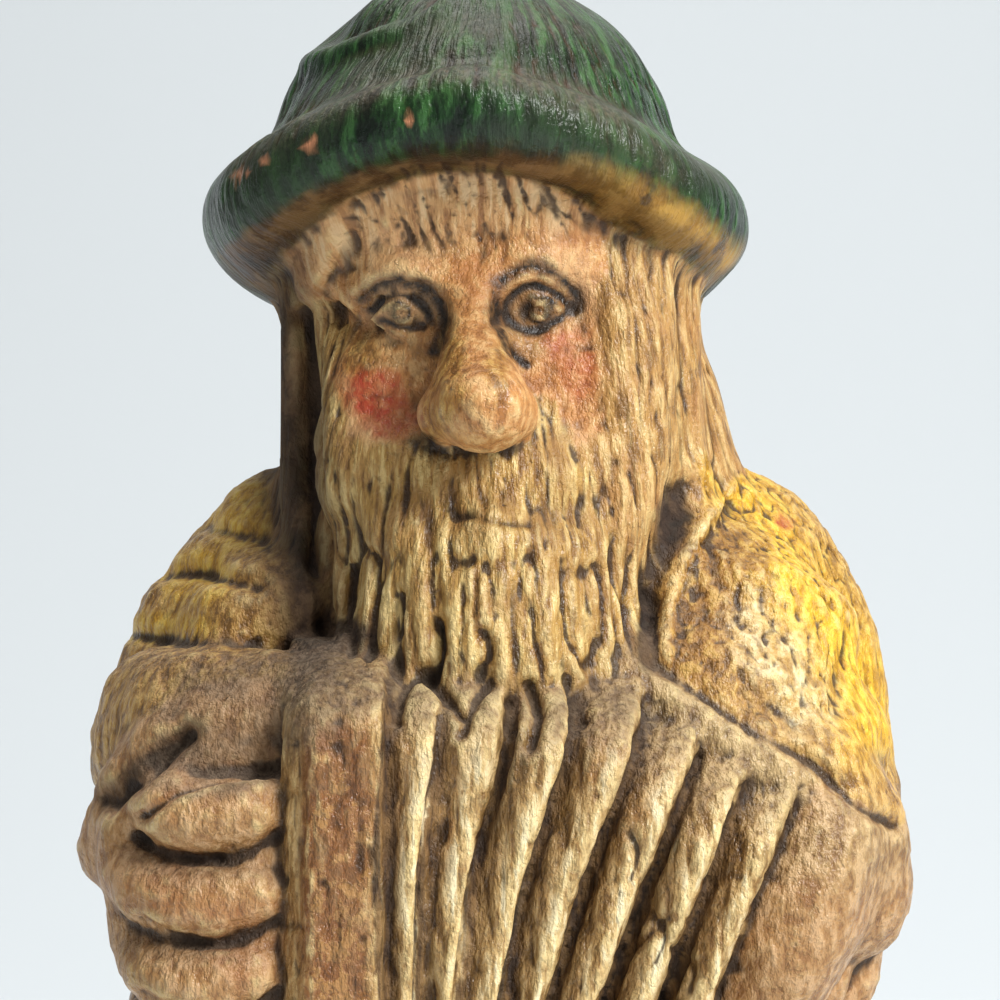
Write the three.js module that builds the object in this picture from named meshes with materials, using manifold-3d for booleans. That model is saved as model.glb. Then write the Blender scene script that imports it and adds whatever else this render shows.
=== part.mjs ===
// A bearded gnome playing the accordion: one solid casting from the low base to the top of the hat.
// Millimetres, +Z up. The gnome looks along -Y, and the origin is under the middle of the base.
import * as THREE from "three";
import { LoftGeometry } from "three/addons/geometries/LoftGeometry.js";
import { mergeVertices } from "three/addons/utils/BufferGeometryUtils.js";
import Module from "manifold-3d";

const wasm = await Module();
wasm.setup();

// Driving dimensions
const BASE = { width: 76, depth: 64, height: 9 };
const FIGURE_HEIGHT = 175; // from the top of the base to the top of the hat
const FOLDS = 7; // ridges of the bellows
const FINGERS = 4;

// The carving is laid out in 175ths of the figure's height, from the soles up.
const unit = FIGURE_HEIGHT / 175;
const at = (x, y, z) => new THREE.Vector3(x * unit, y * unit, BASE.height + z * unit);
const FORWARD = new THREE.Vector3(0, -1, 0);
const SIDEWAYS = new THREE.Vector3(1, 0, 0);
const UP = new THREE.Vector3(0, 0, 1);
const TURN = 2 * Math.PI;

// A closed geometry as a solid.
function solid(geometry) {
  const bare = new THREE.BufferGeometry()
    .setAttribute("position", geometry.getAttribute("position"))
    .setIndex(geometry.getIndex());
  const merged = mergeVertices(bare, 1e-4);
  return new wasm.Manifold(
    new wasm.Mesh({
      numProp: 3,
      vertProperties: merged.attributes.position.array,
      triVerts: new Uint32Array(merged.index.array),
    }),
  );
}

// Joins solids into one.
const join = (...solids) => solids.flat().reduce((whole, next) => whole.add(next));

// A closed skin through rings of points that run from one end to the other.
const skin = (rings) => solid(new LoftGeometry(rings, { capStart: true, capEnd: true }));

// A smooth curve through points.
const curve = (points) => new THREE.CatmullRomCurve3(points, false, "catmullrom", 0.5);

// A form's stations are [half the width, half the depth, the height, the centre's x, the centre's y], from end
// to end. This eases between them, for a share from 0 to 1.
function along(stations, share) {
  const sizes = curve(stations.map(([wide, deep, z]) => new THREE.Vector3(wide, deep, z)));
  const centres = curve(stations.map(([, , , x, y]) => new THREE.Vector3(x, y, 0)));
  const { x: wide, y: deep, z } = sizes.getPoint(share);
  const { x, y } = centres.getPoint(share);
  return { wide, deep, z, x, y };
}

// A form built up in level rings. place(angle, share) gives the point of each ring, from the bottom up.
function stacked(sides, levels, place) {
  const rings = [];
  for (let level = 0; level <= levels; level++) {
    const ring = [];
    for (let side = 0; side < sides; side++) ring.push(place((side / sides) * TURN, level / levels));
    rings.push(ring);
  }
  return skin(rings);
}

// An egg-shaped form about a centre, turned about Y by lean.
function egg(centre, radii, { sides = 10, lean = 0 } = {}) {
  const ball = new THREE.SphereGeometry(1, sides, Math.round(sides * 0.6));
  ball.rotateX(Math.PI / 2).scale(...radii.map((r) => r * unit));
  return solid(ball.rotateY(lean).translate(...centre));
}

// A limb, lock or finger along a smooth path, with round ends. Each stop on the path is [x, y, z, radius].
// The section is flat times as deep, towards facing, as it is wide.
function limb(stops, { sides = 6, steps = 4, flat = 1, facing = FORWARD } = {}) {
  const path = curve(stops.map(([x, y, z]) => at(x, y, z)));
  const radius = (share) => {
    const place = share * (stops.length - 1);
    const before = Math.min(Math.floor(place), stops.length - 2);
    return THREE.MathUtils.lerp(stops[before][3], stops[before + 1][3], place - before) * unit;
  };
  const ring = (share, lift) => {
    const reach = radius(share);
    const way = path.getTangent(share);
    const out = facing.clone().addScaledVector(way, -facing.dot(way)).normalize();
    const side = new THREE.Vector3().crossVectors(out, way);
    const centre = path.getPoint(share).addScaledVector(way, Math.sin(lift) * reach * Math.min(1, flat));
    return Array.from({ length: sides }, (_, i) => {
      const turn = (i / sides) * TURN;
      return centre
        .clone()
        .addScaledVector(side, Math.cos(turn) * Math.cos(lift) * reach)
        .addScaledVector(out, Math.sin(turn) * Math.cos(lift) * reach * flat);
    });
  };
  const END_LIFT = 1; // how far round the end the last ring is, in radians
  const rings = Array.from({ length: steps + 1 }, (_, i) => ring(i / steps, 0));
  return skin([ring(0, -END_LIFT), ...rings, ring(1, END_LIFT)]);
}

// The low base: an uneven mound of ground, flat below.
function base() {
  const EDGES = [
    [0.94, 0],
    [1, 0.22],
    [0.98, 0.55],
    [0.9, 0.85],
    [0.74, 1],
  ];
  return stacked(26, EDGES.length - 1, (angle, share) => {
    const [reach, rise] = EDGES[Math.round(share * (EDGES.length - 1))];
    const chipped = reach * (1 + (0.012 * Math.sin(5 * angle + 1) + 0.01 * Math.sin(11 * angle)) * rise);
    return new THREE.Vector3(
      (Math.cos(angle) * chipped * BASE.width) / 2,
      (Math.sin(angle) * chipped * BASE.depth) / 2,
      rise * BASE.height,
    );
  });
}

// One boot and trouser leg. side is -1 on the gnome's right and 1 on the left.
function leg(side) {
  const trouser = limb(
    [
      [side * 11, 2, 44, 13],
      [side * 12.5, 1, 28, 12.5],
      [side * 13, 1.5, 15, 11.5],
    ],
    { sides: 9, steps: 3 },
  );
  const shaft = limb(
    [
      [side * 13, 3, 16, 9],
      [side * 13.5, 2, 7, 9],
    ],
    { sides: 8, steps: 1 },
  );
  const foot = limb(
    [
      [side * 13.5, 7, 4.5, 8],
      [side * 14.5, -6, 4.5, 8.5],
      [side * 16, -17, 4, 8.5],
    ],
    { sides: 8, steps: 3, facing: UP, flat: 0.85 },
  );
  const sole = BASE.height - 2;
  const below = solid(new THREE.BoxGeometry(200, 200, 100).translate(0, 0, sole - 50));
  return join(trouser, shaft, foot).subtract(below);
}

// The long coat. Each station is half the width, half the depth and the height, then the centre's x and y.
function coat() {
  const STATIONS = [
    [24, 18, 34, 0.5, 1.5],
    [28.5, 22, 36, 0.5, 1],
    [27.5, 21, 47, 0.5, 1],
    [26, 20, 62, 0.5, 1],
    [26.5, 19, 80, 1, 2],
    [28.5, 18, 96, 1.5, 2.5],
    [27, 16.5, 108, 1.5, 3],
    [20, 14, 117, 1.5, 2],
    [13, 11, 124, 1, 0],
  ];
  const HANGING_FOLDS = 7;
  return stacked(28, 7, (angle, share) => {
    const { wide, deep, z, x, y } = along(STATIONS, share);
    const fold = 1 + 0.05 * Math.sin(HANGING_FOLDS * angle + 0.6) * Math.max(0, 1 - share * 1.6);
    return at(x + Math.cos(angle) * wide * fold, y + Math.sin(angle) * deep * fold, z);
  });
}

// Sleeves, and the cloth that is rounded over the chest beside the beard.
function sleeves() {
  const right = limb(
    [
      [-18.4, 2, 110.8, 12.2],
      [-26.8, 2.5, 101, 11.8],
      [-31, 2.5, 90, 10.8],
      [-30.5, -9, 93, 10],
      [-27, -19, 95, 9],
    ],
    { sides: 9, steps: 5, facing: SIDEWAYS },
  );
  const left = limb(
    [
      [27, 2, 109.5, 12.5],
      [32, 3, 100, 12.5],
      [35, 3, 88, 11],
      [35.5, -6, 84, 10],
      [35, -13, 83, 9],
    ],
    { sides: 9, steps: 5, facing: SIDEWAYS },
  );
  // The cloth bunches above the elbow, with a crease between two rolls.
  const rolls = [
    egg(at(-21.5, -7.5, 106), [11, 12, 8], { sides: 9, lean: -0.5 }),
    egg(at(-28, -7.5, 98), [11, 12, 7], { sides: 9, lean: -0.5 }),
  ];
  const chest = egg(at(24, -9, 103), [14, 13.5, 15], { sides: 11, lean: -0.3 });
  const lapel = limb(
    [
      [25, -7, 123, 2.6],
      [22.5, -15, 116, 2.3],
      [18.5, -21.5, 107, 2.2],
      [17.5, -25, 99, 2],
    ],
    { sides: 5, steps: 3 },
  );
  return join(right, left, ...rolls, chest, lapel);
}

// The hat is turned about its own upright axis. Each station of its outline is the reach from that axis, the
// height at the sides, and how much of the front's upward sweep it takes.
function hat() {
  const AXIS = { x: -0.5, y: -3 };
  const SWEEP = 7.4; // how much higher the brim is in front than at the sides
  const OUTLINE = [
    [13, 139, 1.4],
    [22, 140.5, 1.4],
    [25.5, 142.4, 1.15],
    [28.4, 145.2, 1],
    [29.5, 148.4, 1],
    [28.9, 151.6, 0.95],
    [26.3, 154.4, 0.8],
    [23.2, 156, 0.6],
    [21.4, 157.8, 0.45],
    [20.9, 160.4, 0.3],
    [19.3, 164, 0.2],
    [16.6, 167.6, 0.1],
    [12.6, 171, 0],
    [7, 173.9, 0],
    [1.5, 175, 0],
  ];
  const last = OUTLINE.length - 1;
  return stacked(30, last, (angle, share) => {
    const [reach, z, swept] = OUTLINE[Math.round(share * last)];
    const front = -Math.sin(angle);
    const sweep = front > 0 ? SWEEP * front ** 3 : 2 * front;
    const droop = 1.1 * Math.max(0, Math.cos(angle)) ** 2; // the brim hangs lower on the gnome's left
    const soft = 1 + 0.02 * Math.sin(3 * angle + 0.5) + 0.012 * Math.sin(7 * angle);
    // A slanting pinch folds the crown down on the gnome's right.
    const across = z - (167 + 6 * Math.cos(angle));
    const pinch = z > 159 ? 2.6 * Math.exp(-((across / 2.4) ** 2)) * Math.max(0, Math.cos(angle + 2.2)) : 0;
    return at(
      AXIS.x + Math.cos(angle) * (reach * soft - pinch),
      AXIS.y + Math.sin(angle) * (reach * soft - pinch),
      z + (sweep - droop) * swept,
    );
  });
}

// The head with its sunken eyes, heavy lids, bulbous nose, full cheeks and small mouth.
function head() {
  const skull = egg(at(1, -4, 131), [18.5, 19.5, 24], { sides: 14 });
  const sockets = [
    egg(at(-7.4, -24.4, 136.8), [4.7, 3.8, 3.7], { lean: 0.15, sides: 8 }),
    egg(at(6.9, -24.4, 137.2), [4.7, 3.8, 3.7], { lean: -0.15, sides: 8 }),
  ];
  const eye = (x, z) => [
    egg(at(x, -20.2, z - 0.2), [3.1, 2.6, 2.3], { sides: 7 }),
    limb(
      [
        [x - 3.9, -20, z - 0.6, 0.7],
        [x, -22.7, z + 2.1, 0.9],
        [x + 3.9, -20.2, z - 0.4, 0.7],
      ],
      { sides: 4, steps: 3 },
    ),
  ];
  const brows = limb(
    [
      [-14, -16.5, 138, 2],
      [-8, -21.3, 141.6, 2.4],
      [0, -21.9, 139.8, 2.4],
      [7.6, -21.3, 142, 2.4],
      [14, -16.5, 138.5, 2],
    ],
    { sides: 5, steps: 6 },
  );
  const cheeks = [
    egg(at(-9.4, -15.2, 129.4), [7.2, 6.4, 6.2], { sides: 9 }),
    egg(at(9.6, -15.6, 130), [7.4, 6.6, 6.6], { sides: 9 }),
  ];
  const nose = [
    limb(
      [
        [-0.2, -21, 141, 2.6],
        [-0.1, -24.6, 135, 3.4],
        [0.3, -29, 129.6, 4.6],
      ],
      { sides: 7, steps: 2 },
    ),
    egg(at(0.9, -31.4, 127.5), [5.2, 5.8, 4.8], { sides: 12 }),
    egg(at(-3.6, -28, 126.8), [2.8, 3.4, 3], { sides: 6 }),
    egg(at(4.4, -28, 127), [2.5, 3.4, 2.8], { sides: 6 }),
  ];
  const moustache = egg(at(1.6, -21.2, 120.6), [12, 6.4, 5.4]);
  const lip = limb(
    [
      [-2, -26.6, 115, 1],
      [2.2, -28.2, 114.5, 1.4],
      [6.6, -26.8, 115.2, 1],
    ],
    { sides: 4, steps: 2 },
  );
  return skull
    .add(brows)
    .subtract(join(...sockets))
    .add(join(...eye(-7.4, 136.8), ...eye(6.9, 137.2), ...cheeks, ...nose, moustache, lip));
}

// Hair: a fringe combed out over the forehead, long side locks to the shoulders and a grooved fall behind.
function hair() {
  const FRINGE = 8;
  const fringe = Array.from({ length: FRINGE }, (_, i) => {
    const across = (i / (FRINGE - 1)) * 2 - 1; // -1 at the gnome's right temple, 1 at the left
    const drop = 7.5 + 6 * Math.abs(across) ** 1.6 + 1.2 * Math.sin(i * 2.3);
    const depth = (x) => -4 - 20.2 * Math.sqrt(Math.max(0.05, 1 - ((x - 1) / 20.5) ** 2));
    const [root, tip] = [1 + across * 14.5, 1 + across * 18.5];
    return limb(
      [
        [root, depth(root) + 1.8, 153 - 8 * across ** 2, 2.3],
        [(root + tip) / 2, depth((root + tip) / 2) + 0.4, 149 - 6 * across ** 2, 2.2],
        [tip, depth(tip) + 1.4, 151 - drop - 7 * across ** 2, 0.8],
      ],
      { sides: 5, steps: 2, flat: 0.7 },
    );
  });
  const SIDE_LOCKS = [
    [[-19, -6, 145, 3.4], [-17, -7, 132, 3.2], [-15.6, -9, 125, 3], [-17, -13, 116, 3], [-16, -15, 109, 1.6]],
    [[-19, -1, 144, 4], [-17, -2, 133, 3.8], [-16, -4, 127, 3.4], [-17.6, -6, 120, 4], [-15, -16, 104, 2.2]],
    [[-18, -12, 147, 2.8], [-17.6, -14, 139, 2.9], [-17, -13.4, 136, 2]],
    [[19, -12, 145, 3], [18.6, -15.5, 135, 3.4], [18, -17, 124, 3.4], [17.2, -20, 112, 2.2]],
    [[20.4, -7, 146, 3.4], [20, -9.5, 134, 4], [21, -10.5, 124, 4.4], [22, -13, 114, 2.6]],
    [[20, -1, 145, 4], [19, -2, 133, 5], [20.5, -3, 124, 6], [25, -5, 117, 4]],
  ];
  const locks = SIDE_LOCKS.map((stops) => limb(stops, { sides: 5, steps: 3 }));
  const STATIONS = [
    [17, 15, 108, 1, 5],
    [19, 17, 114, 1, 3],
    [20, 19.5, 126, 1, 0],
    [20.5, 20.5, 138, 1, -1],
    [19, 19, 150, 0, -2],
  ];
  const STRANDS = 8;
  const fall = stacked(28, 4, (angle, share) => {
    const { wide, deep, z, x, y } = along(STATIONS, share);
    const behind = Math.max(0, Math.sin(angle));
    const strand = 1 + 0.035 * Math.sin(STRANDS * angle + 3 * share) * Math.sqrt(behind);
    const forward = behind > 0 ? 1 : 0.55; // the face and the beard take the front
    return at(x + Math.cos(angle) * wide * strand, y + Math.sin(angle) * deep * strand * forward, z);
  });
  return join(fall, ...locks, ...fringe);
}

// The beard: a broad ribbed fall from cheek to cheek that parts into pointed locks over the bellows.
function beard() {
  const STATIONS = [
    [11, 22, 100, 1.5, -8],
    [15.5, 23, 105, 1.5, -7.5],
    [16.3, 21.8, 113, 1.5, -7],
    [16.5, 19.8, 122, 1.5, -6.5],
    [16.6, 17, 131, 1.5, -5.5],
    [16.4, 13.5, 137, 1.5, -4],
  ];
  const RIBS = 14;
  const fall = stacked(36, 5, (angle, share) => {
    const { wide, deep, z, x, y } = along(STATIONS, share);
    const front = Math.max(0, -Math.sin(angle));
    const wave = Math.sin(RIBS * angle + 2.2 * Math.sin(3.1 * share) + 4 * share);
    const rib = 1 + 0.026 * wave * Math.sqrt(front) * (1 - 0.6 * share);
    return at(x + Math.cos(angle) * wide * rib, y + Math.sin(angle) * deep * rib, z);
  });
  const LOCKS = 8;
  const TIP_HEIGHTS = [104, 102.5, 98.5, 97, 98.5, 97, 97, 100];
  const locks = Array.from({ length: LOCKS }, (_, i) => {
    const across = (i / (LOCKS - 1)) * 2 - 1;
    const x = 1.5 + across * 14.6;
    const depth = -7.5 - 22.4 * Math.sqrt(1 - (across * 0.9) ** 2);
    const swing = 1.1 * Math.sin(i * 2.6);
    const tip = TIP_HEIGHTS[i];
    return limb(
      [
        [x, depth + 2.4, tip + 15, 1.8],
        [x + swing, depth + 0.6, tip + 8, 2.3],
        [x + swing * 0.4, depth - 1.2, tip + 1, 0.7],
      ],
      { sides: 5, steps: 3 },
    );
  });
  return join(fall, ...locks);
}

// The bellows fan out from the board on the gnome's right. LOW and HIGH say where the first ridge is at two
// heights, and how far on the next ones are. ridge(place, z) is the middle of ridge number place, from 1.
const LOW = { z: 71.6, first: -6.6, pitch: 4.6 };
const HIGH = { z: 93.6, first: -5.3, pitch: 5.95 };
function ridge(place, z) {
  const share = (z - LOW.z) / (HIGH.z - LOW.z);
  const pitch = THREE.MathUtils.lerp(LOW.pitch, HIGH.pitch, share);
  return { x: THREE.MathUtils.lerp(LOW.first, HIGH.first, share) + (place - 1) * pitch, pitch };
}

const BELLOWS = { bottom: 54, front: -37.6, grooves: 4.4, back: -12 };
const BOARDS = { bottom: 53, chamfer: 2.8 };
const ridgeFront = (place) => BELLOWS.front + 0.13 * Math.max(0, place - 2) ** 1.9;
const ridgeTop = (place) => 104 - 0.2 * (place - 1) ** 1.9;

// One fold of the bellows: steep and sharp on one flank, sloping on the other, and rounded off at both ends.
function fold(place) {
  const front = ridgeFront(place);
  const top = ridgeTop(place);
  const RISES = [0, 0.1, 0.5, 0.8, 0.91, 1];
  const rings = RISES.map((rise) => {
    const z = THREE.MathUtils.lerp(BELLOWS.bottom, top, rise);
    const { x, pitch } = ridge(place, z);
    const drawnIn = 15 * Math.max(0, (rise - 0.78) / 0.22) ** 2 + 3 * Math.max(0, (0.1 - rise) / 0.1) ** 2;
    const y = front + drawnIn;
    const groove = y + BELLOWS.grooves;
    return [
      at(x - 0.54 * pitch, BELLOWS.back, z),
      at(x - 0.54 * pitch, groove, z),
      at(x - 0.2 * pitch, y + 1, z),
      at(x - 0.02 * pitch, y, z),
      at(x + 0.24 * pitch, y + 0.2, z),
      at(x + 0.4 * pitch, y + 1.4, z),
      at(x + 0.54 * pitch, groove, z),
      at(x + 0.54 * pitch, BELLOWS.back, z),
    ];
  });
  return skin(rings);
}

// An end board of the accordion. edge(z) gives its middle, half its thickness and its front.
function board(heights, edge) {
  const rings = heights.map((z) => {
    const { x, half, front } = edge(z);
    return [
      at(x - half, BELLOWS.back, z),
      at(x - half, front + BOARDS.chamfer * 1.2, z),
      at(x - half + BOARDS.chamfer, front, z),
      at(x + half - 0.5, front, z),
      at(x + half, front + 0.6, z),
      at(x + half, BELLOWS.back, z),
    ];
  });
  return skin(rings);
}

function accordion() {
  const folds = Array.from({ length: FOLDS }, (_, i) => fold(i + 1));
  const SHOULDER = 98; // above it the board slopes back under the beard
  const rightBoard = board([BOARDS.bottom, SHOULDER, 105], (z) => ({
    x: -13.6,
    half: 5,
    front: BELLOWS.front - 0.4 + Math.max(0, z - SHOULDER) * 2.2,
  }));
  const UNDER_HAND = 82; // above it the left hand covers the other board
  const leftBoard = board([BOARDS.bottom + 1, UNDER_HAND, 90], (z) => ({
    x: ridge(FOLDS + 1, z).x - 0.6,
    half: 3,
    front: BELLOWS.front + 7 + Math.max(0, z - UNDER_HAND) * 1.2,
  }));
  return join(...folds, rightBoard, leftBoard);
}

// The right fist closes over the board. The left hand lies over the far end with its fingers down.
function hands() {
  const FINGER = { radius: 3.5, pitch: 6.75, first: 87.2 };
  const fist = Array.from({ length: FINGERS }, (_, i) => {
    const z = FINGER.first - i * FINGER.pitch;
    const inset = 2.4 * Math.abs(i - 1.2) ** 0.7 - 0.6; // the middle fingers stand out
    return limb(
      [
        [-34 + inset, -21, z + 1, FINGER.radius],
        [-33.6 + inset, -28, z + 0.2, FINGER.radius],
        [-28.5, -32.6, z - 1, FINGER.radius + 0.3],
        [-21, -33.4, z + 0.4, FINGER.radius - 0.2],
      ],
      { sides: 7, steps: 4, facing: UP },
    );
  });
  const rightPalm = egg(at(-29, -20.5, 79), [7.4, 9, 14]);
  const thumb = limb(
    [
      [-34.5, -21, 86, 3.6],
      [-31, -25, 92, 3.8],
      [-24, -27.5, 95.5, 3.6],
      [-17, -28.5, 98.5, 2.6],
    ],
    { sides: 6, steps: 3 },
  );
  const leftPalm = egg(at(31.6, -24, 77), [7.4, 10, 16.5], { sides: 12, lean: 0.42 });
  const down = Array.from({ length: FINGERS }, (_, i) => {
    const x = 40 - i * 3.5;
    const y = -13 - i * 4.8;
    return limb(
      [
        [x, y, 75, FINGER.radius],
        [x - 3, y - 1.2, 67, FINGER.radius],
        [x - 8, y + 0.6, 58.5 + Math.abs(i - 1.5), FINGER.radius - 0.6],
      ],
      { sides: 6, steps: 3 },
    );
  });
  return join(rightPalm, thumb, ...fist, leftPalm, ...down);
}

// The forms overlap in a whole. A pocket that they close in between them is filled, as in any casting.
const body = join(base(), leg(-1), leg(1), coat(), sleeves());
const overlapping = join(body, head(), hair(), beard(), accordion(), hands(), hat());
const figurine = join(...overlapping.decompose().filter((piece) => piece.volume() > 0));

// A solid's triangles as a geometry.
function geometryOf(made) {
  const mesh = made.getMesh();
  const positions = new Float32Array(mesh.numVert * 3);
  for (let i = 0; i < mesh.numVert; i++)
    positions.set(mesh.vertProperties.subarray(i * mesh.numProp, i * mesh.numProp + 3), i * 3);
  return new THREE.BufferGeometry()
    .setAttribute("position", new THREE.BufferAttribute(positions, 3))
    .setIndex(new THREE.BufferAttribute(mesh.triVerts, 1));
}

const painted = new THREE.MeshStandardMaterial({ color: 0xb08a55, roughness: 0.6, metalness: 0 });
const mesh = new THREE.Mesh(geometryOf(figurine), painted);
mesh.name = "figurine";
const group = new THREE.Group();
group.add(mesh);
export default group;
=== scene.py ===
"""The looks of a painted figurine: a bearded gnome who plays the accordion, cast in one piece.

The forms have the solid's names and sizes, with more locks, creases and strokes. They are fused, carved and
painted here. Sizes are 175ths of the figure's height, as in the solid, with z 0 at the soles and the gnome
looking along -Y, until a mesh is made.
"""

import bpy
import numpy as np
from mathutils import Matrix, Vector
from mathutils.bvhtree import BVHTree


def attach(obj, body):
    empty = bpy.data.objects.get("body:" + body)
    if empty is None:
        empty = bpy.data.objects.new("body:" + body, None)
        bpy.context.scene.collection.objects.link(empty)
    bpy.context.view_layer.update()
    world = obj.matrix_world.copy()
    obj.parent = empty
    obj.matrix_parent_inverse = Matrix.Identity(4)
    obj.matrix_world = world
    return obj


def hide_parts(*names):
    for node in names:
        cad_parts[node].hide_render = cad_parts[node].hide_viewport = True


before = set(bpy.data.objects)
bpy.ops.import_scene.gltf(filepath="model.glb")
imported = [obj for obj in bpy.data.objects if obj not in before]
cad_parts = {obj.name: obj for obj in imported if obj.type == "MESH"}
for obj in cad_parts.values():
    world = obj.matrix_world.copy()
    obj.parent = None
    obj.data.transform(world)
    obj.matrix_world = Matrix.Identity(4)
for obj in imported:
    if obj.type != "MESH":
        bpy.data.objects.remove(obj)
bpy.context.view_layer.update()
NODE = "figurine"
SLOT = "painted_casting"

# Driving dimensions, in millimetres
BASE_WIDTH, BASE_DEPTH, BASE_HEIGHT = 76, 64, 9
FIGURE_HEIGHT = 175
UNIT = FIGURE_HEIGHT / 175
MM = 0.001
FOLDS = 7  # ridges of the bellows
FINGERS = 4

# How fine the mesh is, in millimetres
SOFT_VOXEL = 0.5
VOXEL = 0.36
SPIKE = 0.11  # the farthest that a point may stand off the mean of its neighbours
MOST_TRIANGLES = 190_000
KEEP_LEVELS = 20
KEEP_WEIGHT = 6e-7

FORWARD = np.array([0.0, -1.0, 0.0])
SIDEWAYS = np.array([1.0, 0.0, 0.0])
UP = np.array([0.0, 0.0, 1.0])
TURN = 2 * np.pi
# In the order that they are painted in
REGIONS = ["ground", "legs", "boots", "cloth", "wood", "hands", "hair", "beard", "skin", "hat"]

chance = np.random.default_rng(7)
soft_forms = []
crisp_forms = []


def to_metres(points):
    return (np.asarray(points) * UNIT + [0, 0, BASE_HEIGHT]) * MM


def from_metres(points):
    return (np.asarray(points) / MM - [0, 0, BASE_HEIGHT]) / UNIT


def smooth(low, high, value):
    """0 below low, 1 above high, and eased between them."""
    t = np.clip((value - low) / (high - low), 0, 1)
    return t * t * (3 - 2 * t)


# Curves and forms


def curve(points, shares):
    """Points on a smooth curve through points, at shares of it from 0 to 1."""
    p = np.asarray(points, float)
    ends = np.vstack([2 * p[0] - p[1], p, 2 * p[-1] - p[-2]])
    place = np.clip(np.atleast_1d(np.asarray(shares, float)), 0, 1) * (len(p) - 1)
    i = np.minimum(place.astype(int), len(p) - 2)
    t = (place - i)[:, None]
    before, a, b, after = ends[i], ends[i + 1], ends[i + 2], ends[i + 3]
    leave, arrive = (b - before) / 2, (after - a) / 2
    cubic = 2 * a - 2 * b + leave + arrive
    square = -3 * a + 3 * b - 2 * leave - arrive
    return cubic * t**3 + square * t**2 + leave * t + a


def skin(rings):
    """A closed mesh through rings of points that run from one end to the other."""
    rings = np.asarray(rings, float)
    rows, sides = rings.shape[:2]
    points = np.vstack([rings.reshape(-1, 3), rings[0].mean(0), rings[-1].mean(0)])
    row, side = np.meshgrid(np.arange(rows - 1), np.arange(sides), indexing="ij")
    a = (row * sides + side).ravel()
    b = (row * sides + (side + 1) % sides).ravel()
    faces = np.stack([a, b, b + sides, a + sides], 1).tolist()
    first, last = rows * sides, rows * sides + 1
    top = (rows - 1) * sides
    for i in range(sides):
        j = (i + 1) % sides
        faces.append([first, j, i])
        faces.append([last, top + i, top + j])
    return points, faces


def stacked(levels, sides, place):
    """A form built up in level rings. place(angle, share) gives the x, y and z of each ring."""
    angle = np.linspace(0, TURN, sides, endpoint=False)
    rings = []
    for share in np.linspace(0, 1, levels + 1):
        x, y, z = place(angle, share)
        rings.append(np.stack(np.broadcast_arrays(x, y, z), 1))
    return skin(rings)


def egg(centre, radii, lean=0.0):
    """An egg-shaped form about a centre, turned about Y by lean."""

    def place(angle, share):
        lift = (share - 0.5) * np.pi * 0.98
        x = np.cos(angle) * np.cos(lift) * radii[0]
        y = np.sin(angle) * np.cos(lift) * radii[1]
        z = np.sin(lift) * radii[2]
        turned_x = x * np.cos(lean) + z * np.sin(lean)
        turned_z = z * np.cos(lean) - x * np.sin(lean)
        return centre[0] + turned_x, centre[1] + y, centre[2] + turned_z

    return stacked(22, 30, place)


def limb(stops, sides=14, steps=22, flat=1.0, facing=FORWARD):
    """A limb, lock or finger along a smooth path through stops of [x, y, z, radius], with round ends."""
    stops = np.asarray(stops, float)
    path, radii = stops[:, :3], stops[:, 3]
    shares = np.linspace(0, 1, steps + 1)
    lifts = np.radians([75, 50, 25])
    rows = [(0, -lift) for lift in lifts] + [(s, 0) for s in shares] + [(1, lift) for lift in lifts[::-1]]
    share, lift = np.array(rows).T
    centre = curve(path, share)
    near = 1e-3
    way = curve(path, np.clip(share + near, 0, 1)) - curve(path, np.clip(share - near, 0, 1))
    way /= np.linalg.norm(way, axis=1)[:, None]
    reach = np.interp(share * (len(radii) - 1), np.arange(len(radii)), radii)
    out = facing - (way @ facing)[:, None] * way
    out /= np.linalg.norm(out, axis=1)[:, None]
    side = np.cross(out, way)
    centre = centre + way * (np.sin(lift) * reach * min(1, flat))[:, None]
    turn = np.linspace(0, TURN, sides, endpoint=False)
    wide = (np.cos(lift) * reach)[:, None, None]
    return skin(
        centre[:, None]
        + side[:, None] * np.cos(turn)[None, :, None] * wide
        + out[:, None] * np.sin(turn)[None, :, None] * wide * flat
    )


def along(stations, share):
    """Eases between stations of [half width, half depth, height, centre x, centre y]."""
    return curve(stations, share)[0]


def limbs(*paths, sides=24, **kind):
    return [limb(stops, sides=sides, **kind) for stops in paths]


def soft(region, *forms):
    soft_forms.extend((region, form) for form in forms)


def crisp(region, *forms):
    crisp_forms.extend((region, form) for form in forms)


# Base, legs and clothes


def add_base():
    edges = [[0.94, 0], [1, 0.22], [0.98, 0.55], [0.9, 0.85], [0.74, 1]]

    def place(angle, share):
        reach, rise = curve(edges, share)[0]
        chipped = reach * (1 + (0.012 * np.sin(5 * angle + 1) + 0.01 * np.sin(11 * angle)) * rise)
        x = np.cos(angle) * chipped * BASE_WIDTH / 2
        y = np.sin(angle) * chipped * BASE_DEPTH / 2
        return x, y, (min(rise, 1) - 1) * BASE_HEIGHT

    soft("ground", stacked(20, 96, place))


def add_leg(side):
    trouser = [[side * 11, 2, 44, 13], [side * 12.5, 1, 28, 12.5], [side * 13, 1.5, 15, 11.5]]
    soft("legs", limb(trouser, sides=28))
    for z, reach in [(18.5, 11.4), (14.5, 11.7), (10.5, 11.2)]:
        cuff = [
            [side * 13 + reach * 0.93 * np.cos(a), 1.5 + reach * 0.93 * np.sin(a), z + np.sin(a * 2), 1.5]
            for a in np.linspace(0, TURN, 9)
        ]
        crisp("legs", limb(cuff, facing=UP, steps=40, flat=1.2))
    soft("boots", limb([[side * 13, 3, 16, 9], [side * 13.5, 2, 7, 9]], sides=28))
    foot = [[side * 13.5, 7, 4.5, 8], [side * 14.5, -6, 4.5, 8.5], [side * 16, -17, 4, 8.5]]
    soft("boots", limb(foot, sides=28, facing=UP, flat=0.85))


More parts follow.
